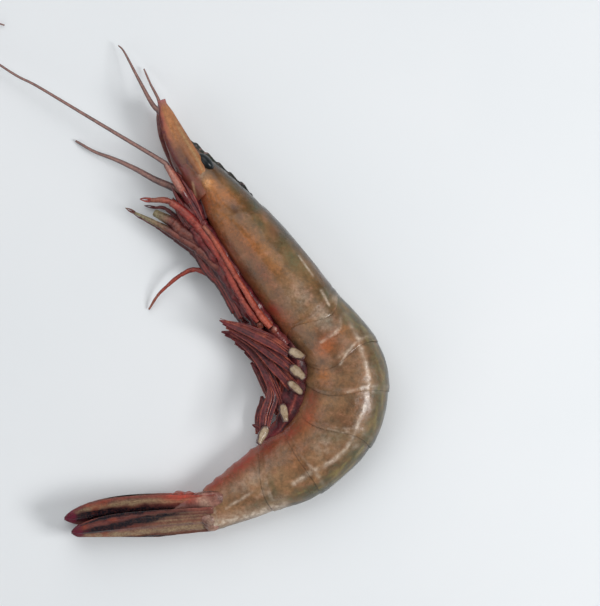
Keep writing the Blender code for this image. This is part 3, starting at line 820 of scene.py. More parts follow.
def carapace_masks(plan, across, lengthwise):
    """Colour marks of the head shield: the peach knob, partly a painted highlight, the dark crest and the
    rear furrow.
    """
    masks = shell_masks(plan)
    masks["pale"] = masks["pale"] * (0.35 + cloudy(plan, 1.8, 5.0))
    # Peach knob: partly its own colour and partly a painted highlight.
    masks["peach"] = near_spot(plan, *KNOB_PLACE, 1.5, 1.2, 127)
    crest = 1.2 * near_line(plan, BACK_EDGE, 1.9) * (0.4 + cloudy(plan, 1.4, 33.0))
    masks["crest"] = np.maximum(crest, near_spot(plan, -24.0, 37.4, 3.4, 2.0, 133))
    masks["dark"] = np.maximum(masks["dark"], 0.35 * near_line(plan, REAR_FURROW, 0.35))
    return masks


skin = bmesh.new()
wrap(skin, [carapace_ring(t, fullness) for t, fullness in carapace_stations], AROUND)
add_piece("head_shield", skin, shell, ["carapace"], carapace_relief, carapace_masks)

# %% [markdown]
# ## The beak
# The rostrum is a blade in the middle plane, with a row of teeth along its top that point
# forward. It is a skin on oval rings whose top edge rises and falls with the teeth.

# %% Beak
ROSTRUM_ROOT = Vector((-10.4, 26.4))
ROSTRUM_HEADING = 139.3
ROSTRUM_LENGTH = 27.3
ROSTRUM_TEETH = 7
TOOTH_HEIGHT = 0.36
BLADE_RISE = 0.46
BEAK_HALF_THICKNESS = 0.75
BEAK_ROWS = 140
# Places along the beak, and how far its lower edge lies from its line there.
BEAK_UNDERSIDE = ((-0.06, -2.6), (0.12, -4.0), (0.60, -3.0), (0.86, -1.6), (1.0, -0.4))
BEAK_START = BEAK_UNDERSIDE[0][0]
FOOT_DROP = 1.8


def beak_top(share):
    """Height of the toothed edge over the beak's line."""
    blade = BLADE_RISE * (1.0 - 0.9 * smooth_step(0.8, 1.0, share))
    foot = FOOT_DROP * (1.0 - smooth_step(BEAK_START, 0.22, share))
    tooth = (share * ROSTRUM_TEETH) % 1.0
    saw = smooth_step(0.0, 0.74, tooth) * (1.0 - smooth_step(0.74, 0.94, tooth))
    return blade - foot + TOOTH_HEIGHT * saw * (1.0 - smooth_step(0.93, 1.0, share))


def beak_ring(share, fullness):
    """Upright oval across the beak."""
    forward = along(ROSTRUM_HEADING)
    upward = along(ROSTRUM_HEADING - 90.0)
    low = np.interp(share, *zip(*BEAK_UNDERSIDE))
    high = max(low + 0.25, beak_top(share))
    line = ROSTRUM_ROOT + forward * ROSTRUM_LENGTH * share
    half_thickness = BEAK_HALF_THICKNESS * (1.0 - 0.55 * max(0.0, share) ** 2)

    def ring(turn):
        angle = 2.0 * math.pi * turn
        rise = (high + low) / 2.0 - math.cos(angle) * (high - low) / 2.0 * fullness
        plan = line + upward * rise
        z = REST_HEIGHT + math.sin(angle) * half_thickness * fullness
        return Vector((plan.x, plan.y, z)), -math.cos(angle)
    return ring


beak_finish = chitin("dark chitin of the beak", "#33322c", "#12181a", (
    ("foot", "#7d6340", 0.9), ("socket", "#2b2f26", 0.95), ("speck", "#9a7d78", 0.7)), cloud_size=2.0,
    grain_size=0.5, coat=0.12)


def beak_masks(plan, across, lengthwise):
    """Pinkish specks along the top, brown where the beak joins the shield, and the dark socket."""
    return {
        "speck": np.clip((cloudy(plan, 0.9, 31.0) - 0.64) * 6.0, 0.0, 1.0),
        "foot": ramp(across, 0.45, -0.4) * ramp(lengthwise, 0.75, -0.3),
        "socket": 1.4 * near_spot(plan, -24.8, 37.8, 4.0, 2.2, 133),
    }


beak_stations = [(BEAK_START + (1.0 - BEAK_START) * k / BEAK_ROWS, 1.0) for k in range(BEAK_ROWS + 1)]
beak_stations = [(BEAK_START, 0.0)] + beak_stations + [(1.0, 0.0)]
skin = bmesh.new()
wrap(skin, [beak_ring(share, fullness) for share, fullness in beak_stations], 28)
add_piece("beak", skin, beak_finish, ["carapace"], None, beak_masks)

# %% [markdown]
# ## Head inside the shield
# In front of the shield's edge the soft head shows: the stalks of the eyes, and the stout
# bases that carry the scales and the long feelers. One blunt core closes the front of the
# shield, and the stalks and bases stand on it.

# %% Core of the head
# Each row: place in plan, then half depth and half width.
HEAD_CORE = ((-22.8, 29.6, 5.2, 5.4), (-25.9, 33.2, 4.9, 5.0), (-29.2, 37.0, 4.0, 4.2),
             (-31.6, 40.9, 3.1, 3.2), (-33.6, 45.1, 2.3, 2.3), (-35.3, 49.6, 0.9, 1.2))
head_flesh = chitin("wet skin of the head", "#86613f", "#543723", (
    ("red", "#6c2f30", 0.9), ("orange", "#a05a30", 0.6), ("dark", "#3a2424", 0.8), ("pale", "#c9a883", 0.9),
    ("green", "#5d6344", 0.5)), cloud_size=3.0)


def core_rings():
    """Round rings along the middle of the head, closed at both ends."""
    places = [Vector((x, y, REST_HEIGHT)) for x, y, _, _ in HEAD_CORE]
    _, _, deep, wide = zip(*HEAD_CORE)
    frames = path_frames(places, 0.4)
    rings = []
    for centre, forward, share in frames:
        place = share * (len(places) - 1)
        rings.append(round_ring(centre, forward, curve_through(deep, place), curve_through(wide, place)))
    return closed(rings, frames)


def core_masks(plan, across, lengthwise):
    """Marks of the head, redder towards the mouth and dark round the eye."""
    masks = shell_masks(plan)
    mouth = near_line(plan, ((-34.8, 44.0), (-32.0, 37.0), (-29.0, 31.5), (-26.2, 27.0)), 2.7)
    corner = 1.3 * near_spot(plan, -26.4, 29.0, 4.6, 2.3, 112)
    masks["red"] = np.maximum.reduce((masks["red"], mouth, corner))
    masks["dark"] = np.maximum(masks["dark"], near_spot(plan, -25.0, 37.4, 4.2, 2.4, 133))
    return masks


skin = bmesh.new()
wrap(skin, core_rings(), 72)
add_piece("head_core", skin, head_flesh, (), lumpy(0.25, 1.8, 14.0), core_masks)

# %% [markdown]
# ## Eyes
# Each eye is a long black bead, pressed into its socket beside the beak. A sphere is stretched
# along the head. The bead is nearly black with a soft gloss.

# %% Eyes
EYE_LONG, EYE_WIDE, EYE_TALL = 2.7, 1.4, 1.9
EYE_HEADING = 133.0

eye_finish, eye_shader = plain_finish("wet black cornea", 0.9, "#060a0b", "#162023", 0.3)
eye_shader.inputs["Specular IOR Level"].default_value = 0.35

for label, side in SIDES:
    centre = Vector((EYE_PLACE.x, EYE_PLACE.y, REST_HEIGHT + side * EYE_SPREAD))
    bead = bmesh.new()
    bmesh.ops.create_uvsphere(bead, u_segments=48, v_segments=32, radius=1.0)
    bmesh.ops.scale(bead, verts=bead.verts, vec=(EYE_LONG, EYE_WIDE, EYE_TALL))
    bmesh.ops.rotate(bead, verts=bead.verts, matrix=Matrix.Rotation(math.radians(EYE_HEADING), 3, "Z"))
    bmesh.ops.translate(bead, verts=bead.verts, vec=centre)
    add_piece(f"cornea_{label}", bead, eye_finish, [f"eye_{label}"])

# %% [markdown]
# ## Blades
# The antennal scales, the tail fan and the paddles are thin leaves: a rib down the middle, thin
# edges and a rounded end. A leaf is a skin on flat rings along a path. It rolls about its
# path, so that it can lie flat, stand up or slope like a roof.


# %% Leaves
# A leaf's thickness at its edge as a share of the middle's, its rib's width, and how it thins.
EDGE_SHARE, RIB_WIDTH, TIP_THINNING = 0.15, 0.10, 0.35


def leaf_ring(centre, forward, roll, half, thick, rib):
    """Flat ring across a leaf, thin at its edges and with a rib down the middle."""
    across = UP.cross(forward) * math.cos(math.radians(roll)) + UP * math.sin(math.radians(roll))
    normal = forward.cross(across).normalized()

    def ring(turn):
        angle = 2.0 * math.pi * turn
        lateral = -math.cos(angle)
        lift = math.sin(angle)
        body = thick * (EDGE_SHARE + (1.0 - EDGE_SHARE) * abs(lift)) + rib * hump(lateral, 0.0, RIB_WIDTH)
        stand = math.copysign(body if lift else 0.0, lift)
        return centre + across * half * lateral + normal * stand, lateral
    return ring


def leaf(made, points, width, roll, thickness, *, taper, widest, point, sharp, around=40, rib=0.0,
         spacing=0.45):
    """Add a leaf along a path. Taper is the share of its width at the root, widest the place of its
    full width, point its least width, and sharp is 0.5 for a round end and 1 for a pointed one."""
    frames = path_frames(points, spacing)
    rings = []
    for centre, forward, t in frames:
        grow = taper + (1.0 - taper) * smooth_step(0.0, widest, t)
        close = max(0.0, 1.0 - ((t - widest) / (1.0 - widest)) ** 2) ** sharp if t > widest else 1.0
        half = width / 2.0 * max(point, grow * close)
        thick = thickness / 2.0 * (1.0 - TIP_THINNING * t)
        rings.append(leaf_ring(centre, forward, roll, half, thick, rib))
    wrap(made, closed(rings, frames), around)


STEPS = 4


def straight(root, length, heading, bend=0.0):
    """Places along a level path that may bend a little in plan."""
    points = [Vector(root)]
    for k in range(STEPS):
        step = along(heading + bend * k / STEPS) * length / STEPS
        points.append(points[-1] + Vector((step.x, step.y, 0.0)))
    return points


# %% [markdown]
# ## Tail fan
# Two blades on each side and a spine in the middle fold together behind the last ring. Seen
# from the side they overlap: dark purple-brown with tan ribs, and dark red at the tips.

# %% Tail fan
TAIL_HEIGHT = ABDOMEN[-1][5]
TAIL_HEADING, SPINE_HEADING = 186.5, 185.2
FAN_ROLL = 40.0

root_finish = chitin("wet skin at the root of the tail", "#94675a", "#64423a", (
    ("red", "#a54536", 0.95), ("pale", "#b89c88", 0.6), ("dark", "#38252a", 0.85)), cloud_size=2.4,
    grain_size=0.6)
tail_finish = chitin("wet chitin of the tail fan", "#7c443a", "#54282a", (
    ("rib", "#9c8466", 0.85), ("rust", "#96452f", 0.8), ("edge", "#8a4a40", 0.8),
    ("knob", "#b3493a", 0.9), ("stripe", "#100f17", 1.0), ("tip", "#641a30", 0.97)), cloud_size=2.6,
    grain_size=0.5)

# Where the dark stripes lie across a blade (place, slant, width, strength), then its tan ribs
# (place, width, strength).
FAN_MARKS = {
    "outer": (((0.08, -0.4, 0.34, 2.2),), ((-0.62, 0.20, 1.0),)),
    "inner": (((-0.95, 0.3, 0.12, 1.2), (-0.30, 1.2, 0.19, 2.2), (0.95, 0.0, 0.10, 1.4)),
              ((0.46, 0.24, 1.1),)),
    "spine": (((0.75, 0.0, 0.3, 0.6), (-0.75, 0.0, 0.3, 0.6)), ((0.0, 0.25, 0.8),)),
}


def tail_masks(which):
    """Rule for a blade's marks: dark stripes, tan ribs, a paler edge, rusty patches and red tips."""
    stripes, tans = FAN_MARKS[which]

    def masks(plan, across, lengthwise):
        place = across + uneven(plan, 0.25, 2.6, 41.0) + uneven(plan, 0.10, 0.9, 40.0)
        stripe = sum(strength * hump(place, at + slant * (lengthwise - 0.6), width)
                     for at, slant, width, strength in stripes)
        ribs = sum(strength * hump(place, at, width) for at, width, strength in tans)
        root = near_spot(plan, -31.0, -56.8, 9.0, 3.0, 186) * (0.55 + 0.45 * np.cos(across * 26.0))
        ribs = 1.1 * np.maximum(ribs, 0.9 * root) * (0.5 + cloudy(plan, 1.5, 43.0))
        return {
            "stripe": stripe * ramp(lengthwise, 0.15, 0.35) * (0.7 + 0.8 * cloudy(plan, 4.0, 42.0)),
            "rib": ribs * ramp(lengthwise, 0.95, -0.1),
            "edge": ramp(-across, 0.88, 0.1),
            "knob": 1.2 * near_spot(plan, -31.0, -50.0, 4.6, 1.5, 185),
            "rust": ramp(cloudy(plan, 2.6, 46.0), 0.5, 0.25) * ramp(lengthwise, 0.5, 0.3),
            "tip": ramp(lengthwise + uneven(plan, 0.14, 1.2, 45.0), 0.88, 0.06),
        }
    return masks


def root_masks(plan, across, lengthwise):
    """A salmon knob at the upper side, a pale joint, and dark folds between."""
    joint = near_line(plan, ((-25.6, -50.5), (-23.6, -54.0), (-22.6, -59.4)), 1.3)
    return {
        "red": 1.2 * near_spot(plan, -29.8, -50.2, 4.8, 1.9, 185),
        "pale": joint * (0.3 + cloudy(plan, 1.2, 48.0)),
        "dark": 0.7 * near_line(plan, ((-33.0, -52.4), (-27.0, -52.8), (-24.0, -53.6)), 0.7),
    }


def tail_relief(plan, across, lengthwise):
    """Long fine ribs down each blade."""
    return 0.06 * np.cos(across * 30.0) + uneven(plan, 0.16, 1.4, 44.0)


# Each blade: its root in plan and how far over or under the middle it starts, length, width, turn
# from the fan's heading, how much it bends in plan, and how wide its root is.
BLADES = {
    "inner": ((-22.4, -56.1), 2.5, 37.2, 9.6, -1.9, 2.2, 0.88),
    "outer": ((-21.8, -52.1), 3.4, 39.6, 9.8, -2.6, 4.6, 0.66),
}
SPINE_ROOT, SPINE_LENGTH = (-20.6, -55.2, TAIL_HEIGHT), 36.0
# The root of the fan: place in plan, and rise from the middle. The joint's balls end with a radius.
TAIL_ROOT = ((-17.8, -52.2, 1.8), (-21.5, -52.6, 2.6), (-25.5, -53.0, 2.9), (-29.5, -53.3, 2.9),
             (-33.0, -53.4, 2.7))
TAIL_BALLS = ((-24.6, -51.6, 2.2, 1.9), (-24.0, -53.6, 2.8, 2.1), (-23.4, -55.8, 2.6, 2.1),
              (-22.8, -57.6, 1.8, 1.8), (-31.4, -50.6, 2.2, 1.7), (-28.8, -50.9, 2.4, 1.8),
              (-26.4, -51.2, 2.2, 1.7))

skin = bmesh.new()
leaf(skin, straight(SPINE_ROOT, SPINE_LENGTH, SPINE_HEADING), width=5.6, roll=90.0, thickness=4.4,
     taper=0.35, widest=0.22, point=0.03, rib=0.3, sharp=0.9)
add_piece("tail_spine", skin, tail_finish, ["telson"], tail_relief, tail_masks("spine"))
for label, side in SIDES:
    for which, (place, rise, length, width, turn, bend, taper) in BLADES.items():
        path = straight((*place, TAIL_HEIGHT + side * rise), length, TAIL_HEADING + turn, bend)
        skin = bmesh.new()
        leaf(skin, path, width, -side * FAN_ROLL, thickness=0.9, taper=taper, widest=0.60, point=0.03,
             rib=0.3, around=72, sharp=0.58)
        add_piece(f"tail_blade_{which}_{label}", skin, tail_finish,
                  [f"uropod_{which}_{label}"], tail_relief, tail_masks(which))
    path = [Vector((x, y, TAIL_HEIGHT + side * rise)) for x, y, rise in TAIL_ROOT]
    skin = bmesh.new()
    leaf(skin, path, width=8.6, roll=-side * 30.0, thickness=4.0, taper=0.8, widest=0.35, point=0.12,
         around=48, sharp=0.7)
    add_piece(f"tail_root_{label}", skin, root_finish, (), lumpy(0.35, 1.6, 47.0),
              root_masks)
skin = balls([(x, y, TAIL_HEIGHT + side * rise, size) for x, y, rise, size in TAIL_BALLS
              for side in (1, -1)], stretch=(1.15, 1.0, 0.75))
add_piece("tail_joint", skin, root_finish, (), lumpy(0.5, 1.3, 49.0), root_masks)

# %% [markdown]
# ## Antennal scales
# A broad stiff leaf lies along each side of the beak, orange-tan with a darker outer edge.

# %% Antennal scales
scale_finish = chitin("wet chitin of the scales", "#ad7146", "#7f5132", (
    ("sun", "#c07f4c", 0.7), ("foot", "#50302a", 0.92), ("blush", "#a54a3c", 0.7),
    ("edge", "#5c2629", 0.92), ("ridge", "#b08b5e", 0.8), ("tip", "#a7656a", 0.85)), cloud_size=4.0)


def scale_masks(plan, across, lengthwise):
    """Maroon on the edge away from the beak, an orange middle, pink tip and brown foot."""
    shaky = uneven(plan, 0.3, 2.0, 71.0)
    return {
        "sun": hump(across, -0.1, 0.4) * hump(lengthwise, 0.70, 0.20),
        "edge": ramp(across + shaky, 0.42, 0.25),
        "tip": ramp(lengthwise, 0.9, 0.08),
        "foot": ramp(lengthwise - shaky, 0.60, -0.25) * ramp(across, -0.40, 0.4),
        "blush": hump(lengthwise, 0.78, 0.2) * ramp(across, 0.05, 0.4),
        "ridge": hump(across, -0.72, 0.12) * ramp(lengthwise, 0.8, -0.2),
    }


def scale_relief(plan, across, lengthwise):
    """A stiff outer rib and soft lengthwise waves."""
    waves = 0.02 * np.cos(across * 16.0) + uneven(plan, 0.20, 2.2, 72.0)
    return waves + 0.12 * hump(across, 0.62, 0.1)


SCALE_PATH = ((-24.4, 31.4), (-27.0, 34.2), (-29.8, 38.4), (-32.3, 43.0), (-34.4, 47.9), (-36.0, 52.6))

for label, side, lag in (("left", 1, 0.0), ("right", -1, 1.6)):
    skin = bmesh.new()
    places = [Vector((x - 0.5 * lag, y - lag, REST_HEIGHT + side * (4.3 - 0.12 * k)))
              for k, (x, y) in enumerate(SCALE_PATH)]
    leaf(skin, places, width=7.0, roll=-side * 22.0, thickness=1.2, taper=0.5, widest=0.34, point=0.34,
         rib=0.08, around=64, sharp=0.6)
    add_piece(f"head_scale_{label}", skin, scale_finish, [f"antennal_scale_{label}"],
              scale_relief, scale_masks)

# %% [markdown]
# ## Legs and feelers
# A leg is a chain of thin-walled tubes with a knuckle at each joint. A feeler is a whip of
# hundreds of tiny rings on a stout base. Both are round skins along a path given by its root
# and by steps of length and heading, as in the solids.


# %% Limbs
def path_points(root, steps, root_height, tip_height):
    """Joint places of a limb: root in plan, then steps of length and heading."""
    total = sum(length for length, _ in steps)
    place = Vector(root)
    travelled = 0.0
    points = [Vector((place.x, place.y, root_height))]
    for length, heading in steps:
        place = place + along(heading) * length
        travelled += length
        z = root_height + (tip_height - root_height) * (travelled / total) ** 2
        points.append(Vector((place.x, place.y, z)))
    return points


def tube(made, points, radius, spacing=0.45, around=14, flatness=1.0):
    """Add a round skin along a path: radius maps a place in steps to a radius."""
    frames = path_frames(points, spacing)
    rings = []
    for centre, forward, share in frames:
        size = radius(share * (len(points) - 1))
        rings.append(round_ring(centre, forward, size, size * flatness))
    wrap(made, closed(rings, frames), around)


# Each leg: its node, root in plan, steps of length and heading, the root's rise over the middle
# plane, the tip's height and the radius at the root.
LEGS = (
    ("maxilliped_left", (-27.4, 22.6), ((3.0, 132), (2.5, 128), (2.0, 120)), 1.6, 7.6, 0.9),
    ("pereiopod_left_1", (-22.9, 13.8), ((9.2, 148), (2.9, 135), (5.9, 151)), 1.3, 7.4, 0.85),
    ("pereiopod_left_2", (-14.8, 1.6),
     ((8.5, 130), (8.5, 137), (5.3, 147), (5.8, 148), (10.8, 153)), 1.9, 7.0, 0.85),
    ("pereiopod_left_3", (-10.9, -4.9),
     ((7.3, 125), (11.4, 117), (10.5, 125), (9.6, 139), (8.1, 174)), 3.9, 10.0, 1.0),
    ("pereiopod_left_4", (-14.2, -1.1), ((8.0, 122), (9.0, 124), (5.6, 125)), -0.3, 8.0, 0.85),
    ("pereiopod_left_5", (-7.6, -6.3), ((5.0, 129), (8.9, 122), (12.5, 121), (5.2, 127)), 5.2, 13.0, 1.1),
    ("maxilliped_right", (-28.4, 21.4), ((3.0, 134), (2.5, 130), (2.0, 122)), -1.6, 5.0, 0.9),
    ("pereiopod_right_1", (-24.4, 12.6), ((8.6, 147), (2.9, 135), (3.5, 151)), -2.3, 4.2, 0.7),
    ("pereiopod_right_2", (-17.0, 1.0),
     ((8.5, 128), (8.5, 135), (5.3, 145), (5.8, 146), (7.0, 151)), -4.3, 2.4, 0.8),
    ("pereiopod_right_3", (-13.5, -6.0),
     ((7.0, 124), (11.0, 116), (10.5, 124), (9.0, 138), (6.0, 170)), -6.2, 1.0, 0.8),
    ("pereiopod_right_4", (-15.5, -3.5),
     ((8.0, 124), (8.0, 126), (7.0, 130), (5.0, 140)), -7.75, 0.75, 0.7),
    ("pereiopod_right_5", (-15.3, 1.6),
     ((6.2, 143), (7.3, 153), (4.4, 197), (4.6, 218), (3.7, 225), (4.3, 237)), -2.1, 0.7, 0.65),
)
# The ridge mark of a leg is a painted highlight along its top, and its joint mark is painted shade on its
# underside.
LEG_MARKS = (("ridge", "#bb6450", 0.5), ("joint", "#3c1118", 0.9), ("tip", "#8a5f4c", 0.6))
leg_finishes = {
    "coral": chitin("coral chitin of the upper legs", "#922d25", "#5e181b", LEG_MARKS, 2.4, 0.6, coat=0.12),
    "salmon": chitin("salmon chitin of the hind leg", "#a84f3a", "#7a2d22", LEG_MARKS, 2.4, 0.6, coat=0.15),
    "tan": chitin("tan chitin of the pincer legs", "#602f2b", "#3f191c", (
        ("ridge", "#905442", 0.5), ("joint", "#3c1118", 0.9), ("tip", "#87805f", 0.85)), 2.4, 0.6,
        coat=0.12),
    # The maroon finish is partly the legs' own dark red and partly painted shade: it is the darker copy
    # given to the legs that lie lower, under the others.
    "maroon": chitin("maroon chitin of the lower legs", "#601f25", "#380f18", (
        ("ridge", "#87413a", 0.5), ("joint", "#2c0d13", 0.85), ("tip", "#7a3f3c", 0.6)), 2.4, 0.6,
        coat=0.12),
}
# Finish of a leg, and how much stouter than the radius it is, from its root to its tip.
LEG_LOOKS = {
    "pereiopod_left_3": ("coral", (0.95, 1.05, 1.4, 2.0, 1.7, 1.3)),
    "pereiopod_left_5": ("salmon", (0.85, 0.85, 0.95, 1.0)),
    "pereiopod_left_2": ("tan", (1.7, 1.7, 1.7, 1.8, 1.8, 0.9)),
    "pereiopod_left_4": ("maroon", (1.8, 1.5)),
    "pereiopod_left_1": ("tan", (1.7, 2.2, 2.7, 2.6)),
    "pereiopod_right_5": ("coral", (1.3, 1.0)),
}
# The legs not listed lie lower and take the maroon finish, darker partly as painted shade.
OTHER_LEG = ("maroon", (1.9, 1.0))


def leg_masks(plan, across, lengthwise):
    """A painted highlight along the top of the leg, its tip, and painted shade on its underside."""
    return {
        "ridge": ramp(across, 0.70, 0.28) * (0.2 + 1.1 * cloudy(plan, 2.2, 51.0)),
        "tip": ramp(lengthwise, 0.72, 0.2),
        "joint": ramp(-across, 0.1, 0.5),
    }


PINCER_LENGTH = 2.8
PINCER_LEGS = ("pereiopod_left_2", "pereiopod_left_3", "pereiopod_right_1",
               "pereiopod_right_2", "pereiopod_right_3")


def pincer(made, hand, tip, size):
    """Two slim fingers from the hand to the tip, bowed apart a little."""
    side = UP.cross(tip - hand).normalized()
    for turn in (1, -1):
        bowed = hand.lerp(tip, 0.5) + side * turn * size * 0.55
        tube(made, [hand + side * turn * size * 0.35, bowed, tip + side * turn * size * 0.05],
             lambda place: size * (0.62 - 0.24 * place), around=12)


def leg_sizes(radius, count, stoutness):
    """Rule for a leg's radius: less to the tip, a knuckle before each joint and a waist after it."""
    shares = np.linspace(0.0, 1.0, len(stoutness))

    def size_at(place):
        share, part = place / count, place % 1.0
        size = radius * (1.0 - 0.6 * share) * float(np.interp(share, shares, stoutness))
        knuckle = 0.14 * hump(part, 0.96, 0.07) - 0.14 * hump(part, 0.06, 0.05)
        return size * (1.0 + 0.10 * math.sin(math.pi * part) + knuckle)
    return size_at


for name, root, steps, root_rise, tip_height, radius in LEGS:
    points = path_points(root, steps, REST_HEIGHT + root_rise, tip_height)
    look, stoutness = LEG_LOOKS.get(name, OTHER_LEG)
    size_at = leg_sizes(radius, len(steps), stoutness)
    skin = bmesh.new()
    if name in PINCER_LEGS:
        tip = points[-1].copy()
        hand = tip + (points[-2] - tip).normalized() * PINCER_LENGTH
        pincer(skin, hand, tip, size_at(len(steps) - 0.3))
        points[-1] = hand
    tube(skin, points, size_at, around=20, flatness=0.85)
    add_piece(f"leg_{name}", skin, leg_finishes[look], [name], lumpy(0.12, 1.3, 52.0),
              leg_masks)

# %% [markdown]
# The hip of each leg reaches from under the shield's edge to the leg's first tube. Three thick
# tubes of leg roots fill the space between the hips and the shield.

# %% Hips
HIP_REACH = 3.4
HIPLESS = ("pereiopod_left_3", "pereiopod_left_5")
# Middle line of the leg roots, which lie beside each other along the shield's lower edge.
LEG_ROOTS = ((-25.4, 21.4), (-24.2, 19.2), (-21.0, 14.8), (-17.7, 10.0), (-14.9, 4.6), (-11.8, 0.3),
             (-9.2, -3.4), (-7.4, -6.4), (-5.2, -9.0), (-3.6, -11.0))
# Each tube of roots: its rise over the middle plane, and how far it lies from the line.
ROOT_TUBES = ((2.7, 0.0), (0.6, -1.2), (1.6, -3.0))
HIP_BALLS = ((-7.9, -5.4, 4.7, 0.9), (-6.7, -7.0, 3.9, 1.0), (-10.2, -5.6, 3.4, 1.0))


def knuckle_masks(plan, across, lengthwise):
    """Pale patches and dark folds."""
    return {"ridge": cloudy(plan, 0.8, 58.0) * 3.0 - 1.7, "joint": 1.2 - cloudy(plan, 1.4, 59.0) * 2.4}


skin = bmesh.new()
for name, root, steps, root_rise, *_ in LEGS:
    if name in HIPLESS:
        continue
    start = Vector((*root, REST_HEIGHT + root_rise))
    inward = along(steps[0][1] - 100.0) * HIP_REACH
    under = Vector((root[0] + inward.x, root[1] + inward.y, REST_HEIGHT + root_rise * 0.15))
    knee = start + (along(steps[0][1]) * 1.4).to_3d()
    tube(skin, [under, start.lerp(under, 0.5), start, knee],
         lambda place: 1.05 + 0.35 * math.sin(place * 1.1), around=18)
add_piece("leg_hips", skin, leg_finishes["maroon"], (), lumpy(0.3, 1.5, 55.0), leg_masks)
skin = bmesh.new()
for lift, reach in ROOT_TUBES:
    places = [Vector((x + 0.85 * reach, y + 0.5 * reach, REST_HEIGHT + lift)) for x, y in LEG_ROOTS]
    tube(skin, places,
         lambda place: 1.5 * (1.0 + 0.14 * math.sin(place * 6.3)) * min(1.0, 0.6 + 0.4 * place),
         spacing=0.3, around=30)
add_piece("leg_roots", skin, leg_finishes["maroon"], (), lumpy(0.5, 1.5, 60.0), leg_masks)
knuckle_finish = chitin("wet pale skin of the hip joint", "#a5604e", "#7a3c30", (
    ("ridge", "#e2c8b8", 0.6), ("joint", "#5a2a26", 0.8)), 1.2, 0.5)
skin = balls([(x, y, REST_HEIGHT + rise, size) for x, y, rise, size in HIP_BALLS])
add_piece("hip_joint", skin, knuckle_finish, (), lumpy(0.35, 1.0, 57.0), knuckle_masks)

# %% [markdown]
# The jaw feet and mouth parts lie in front of the hips, in layers of narrow dark leaves.

# %% Mouth parts
# The visible leaves, each by four places from its root to its tip, then its height over the
# middle plane and its width. The same leaves lie on the far side, a little lower and shorter.
MOUTH_LEAVES = (
    (((-24.8, 21.6), (-26.6, 27.0), (-28.4, 31.6), (-31.4, 35.8)), 1.6, 3.4),
    (((-25.0, 20.7), (-27.0, 26.4), (-29.6, 31.2), (-33.0, 34.6)), 2.5, 2.4),
    (((-24.0, 18.0), (-26.8, 23.2), (-29.6, 28.0), (-32.8, 32.2)), 3.1, 1.9),
    (((-24.0, 15.8), (-27.8, 21.3), (-30.7, 25.7), (-33.4, 30.2)), 2.3, 2.2),
    (((-24.4, 13.8), (-29.1, 20.0), (-31.5, 24.0), (-33.0, 27.4)), 1.2, 2.2),
    (((-21.8, 12.6), (-26.0, 17.4), (-29.0, 21.0), (-31.4, 24.4)), 2.0, 2.0),
    (((-19.0, 8.8), (-23.4, 13.6), (-26.6, 17.0), (-29.4, 20.2)), 1.4, 2.2),
    (((-16.2, 4.6), (-20.8, 9.8), (-24.0, 13.4), (-26.4, 17.0)), 1.9, 2.0),
    (((-13.6, 0.6), (-17.8, 5.6), (-21.0, 9.4), (-23.6, 13.2)), 1.3, 2.2),
    (((-16.9, -2.5), (-20.6, 4.6), (-23.4, 7.9), (-25.7, 11.0), (-27.5, 14.2), (-29.4, 16.6)), 0.2, 2.7),
    (((-15.0, -3.9), (-18.8, 3.4), (-21.7, 8.1), (-24.8, 12.5), (-27.2, 16.0)), 1.1, 2.9),
    (((-12.8, -3.9), (-16.7, 2.9), (-19.8, 8.6), (-23.4, 13.8), (-26.4, 17.6)), 0.3, 3.0),
)
mouth_finish = chitin("wet dark skin of the mouth parts", "#6b2a2c", "#34101a", (
    ("ridge", "#a04a3c", 0.8), ("joint", "#240a12", 0.85), ("tip", "#7c3434", 0.6)), 2.0, 0.6, coat=0.15)


def mouth_masks(plan, across, lengthwise):
    """Red lines lengthwise, dark edges."""
    lines = hump(across, 0.0, 0.16) + 0.8 * hump(across, 0.62, 0.12)
    return {
        "ridge": lines * (0.3 + 1.1 * cloudy(plan, 2.0, 54.0)),
        "joint": ramp(np.abs(across), 0.72, 0.2),
        "tip": ramp(lengthwise, 0.8, 0.15),
    }


for label, side in SIDES:
    lag = 0.0 if side > 0 else 0.8
    skin = bmesh.new()
    for number, (places, rise, width) in enumerate(MOUTH_LEAVES):
        points = [Vector((x + lag, y - lag, REST_HEIGHT + side * (rise - 0.2 * k) - 0.25 * k))
                  for k, (x, y) in enumerate(places)]
        roll = side * (14.0 if number % 2 else -10.0)
        leaf(skin, points, width, roll, thickness=1.3, taper=0.75, widest=0.4, point=0.10, around=28,
             rib=0.25, sharp=0.8, spacing=0.35)
    add_piece(f"mouth_parts_{label}", skin, mouth_finish, (), lumpy(0.18, 1.3, 56.0),
              mouth_masks)

# %% [markdown]
# The two long feelers and the two short forked ones start inside the head and taper evenly.

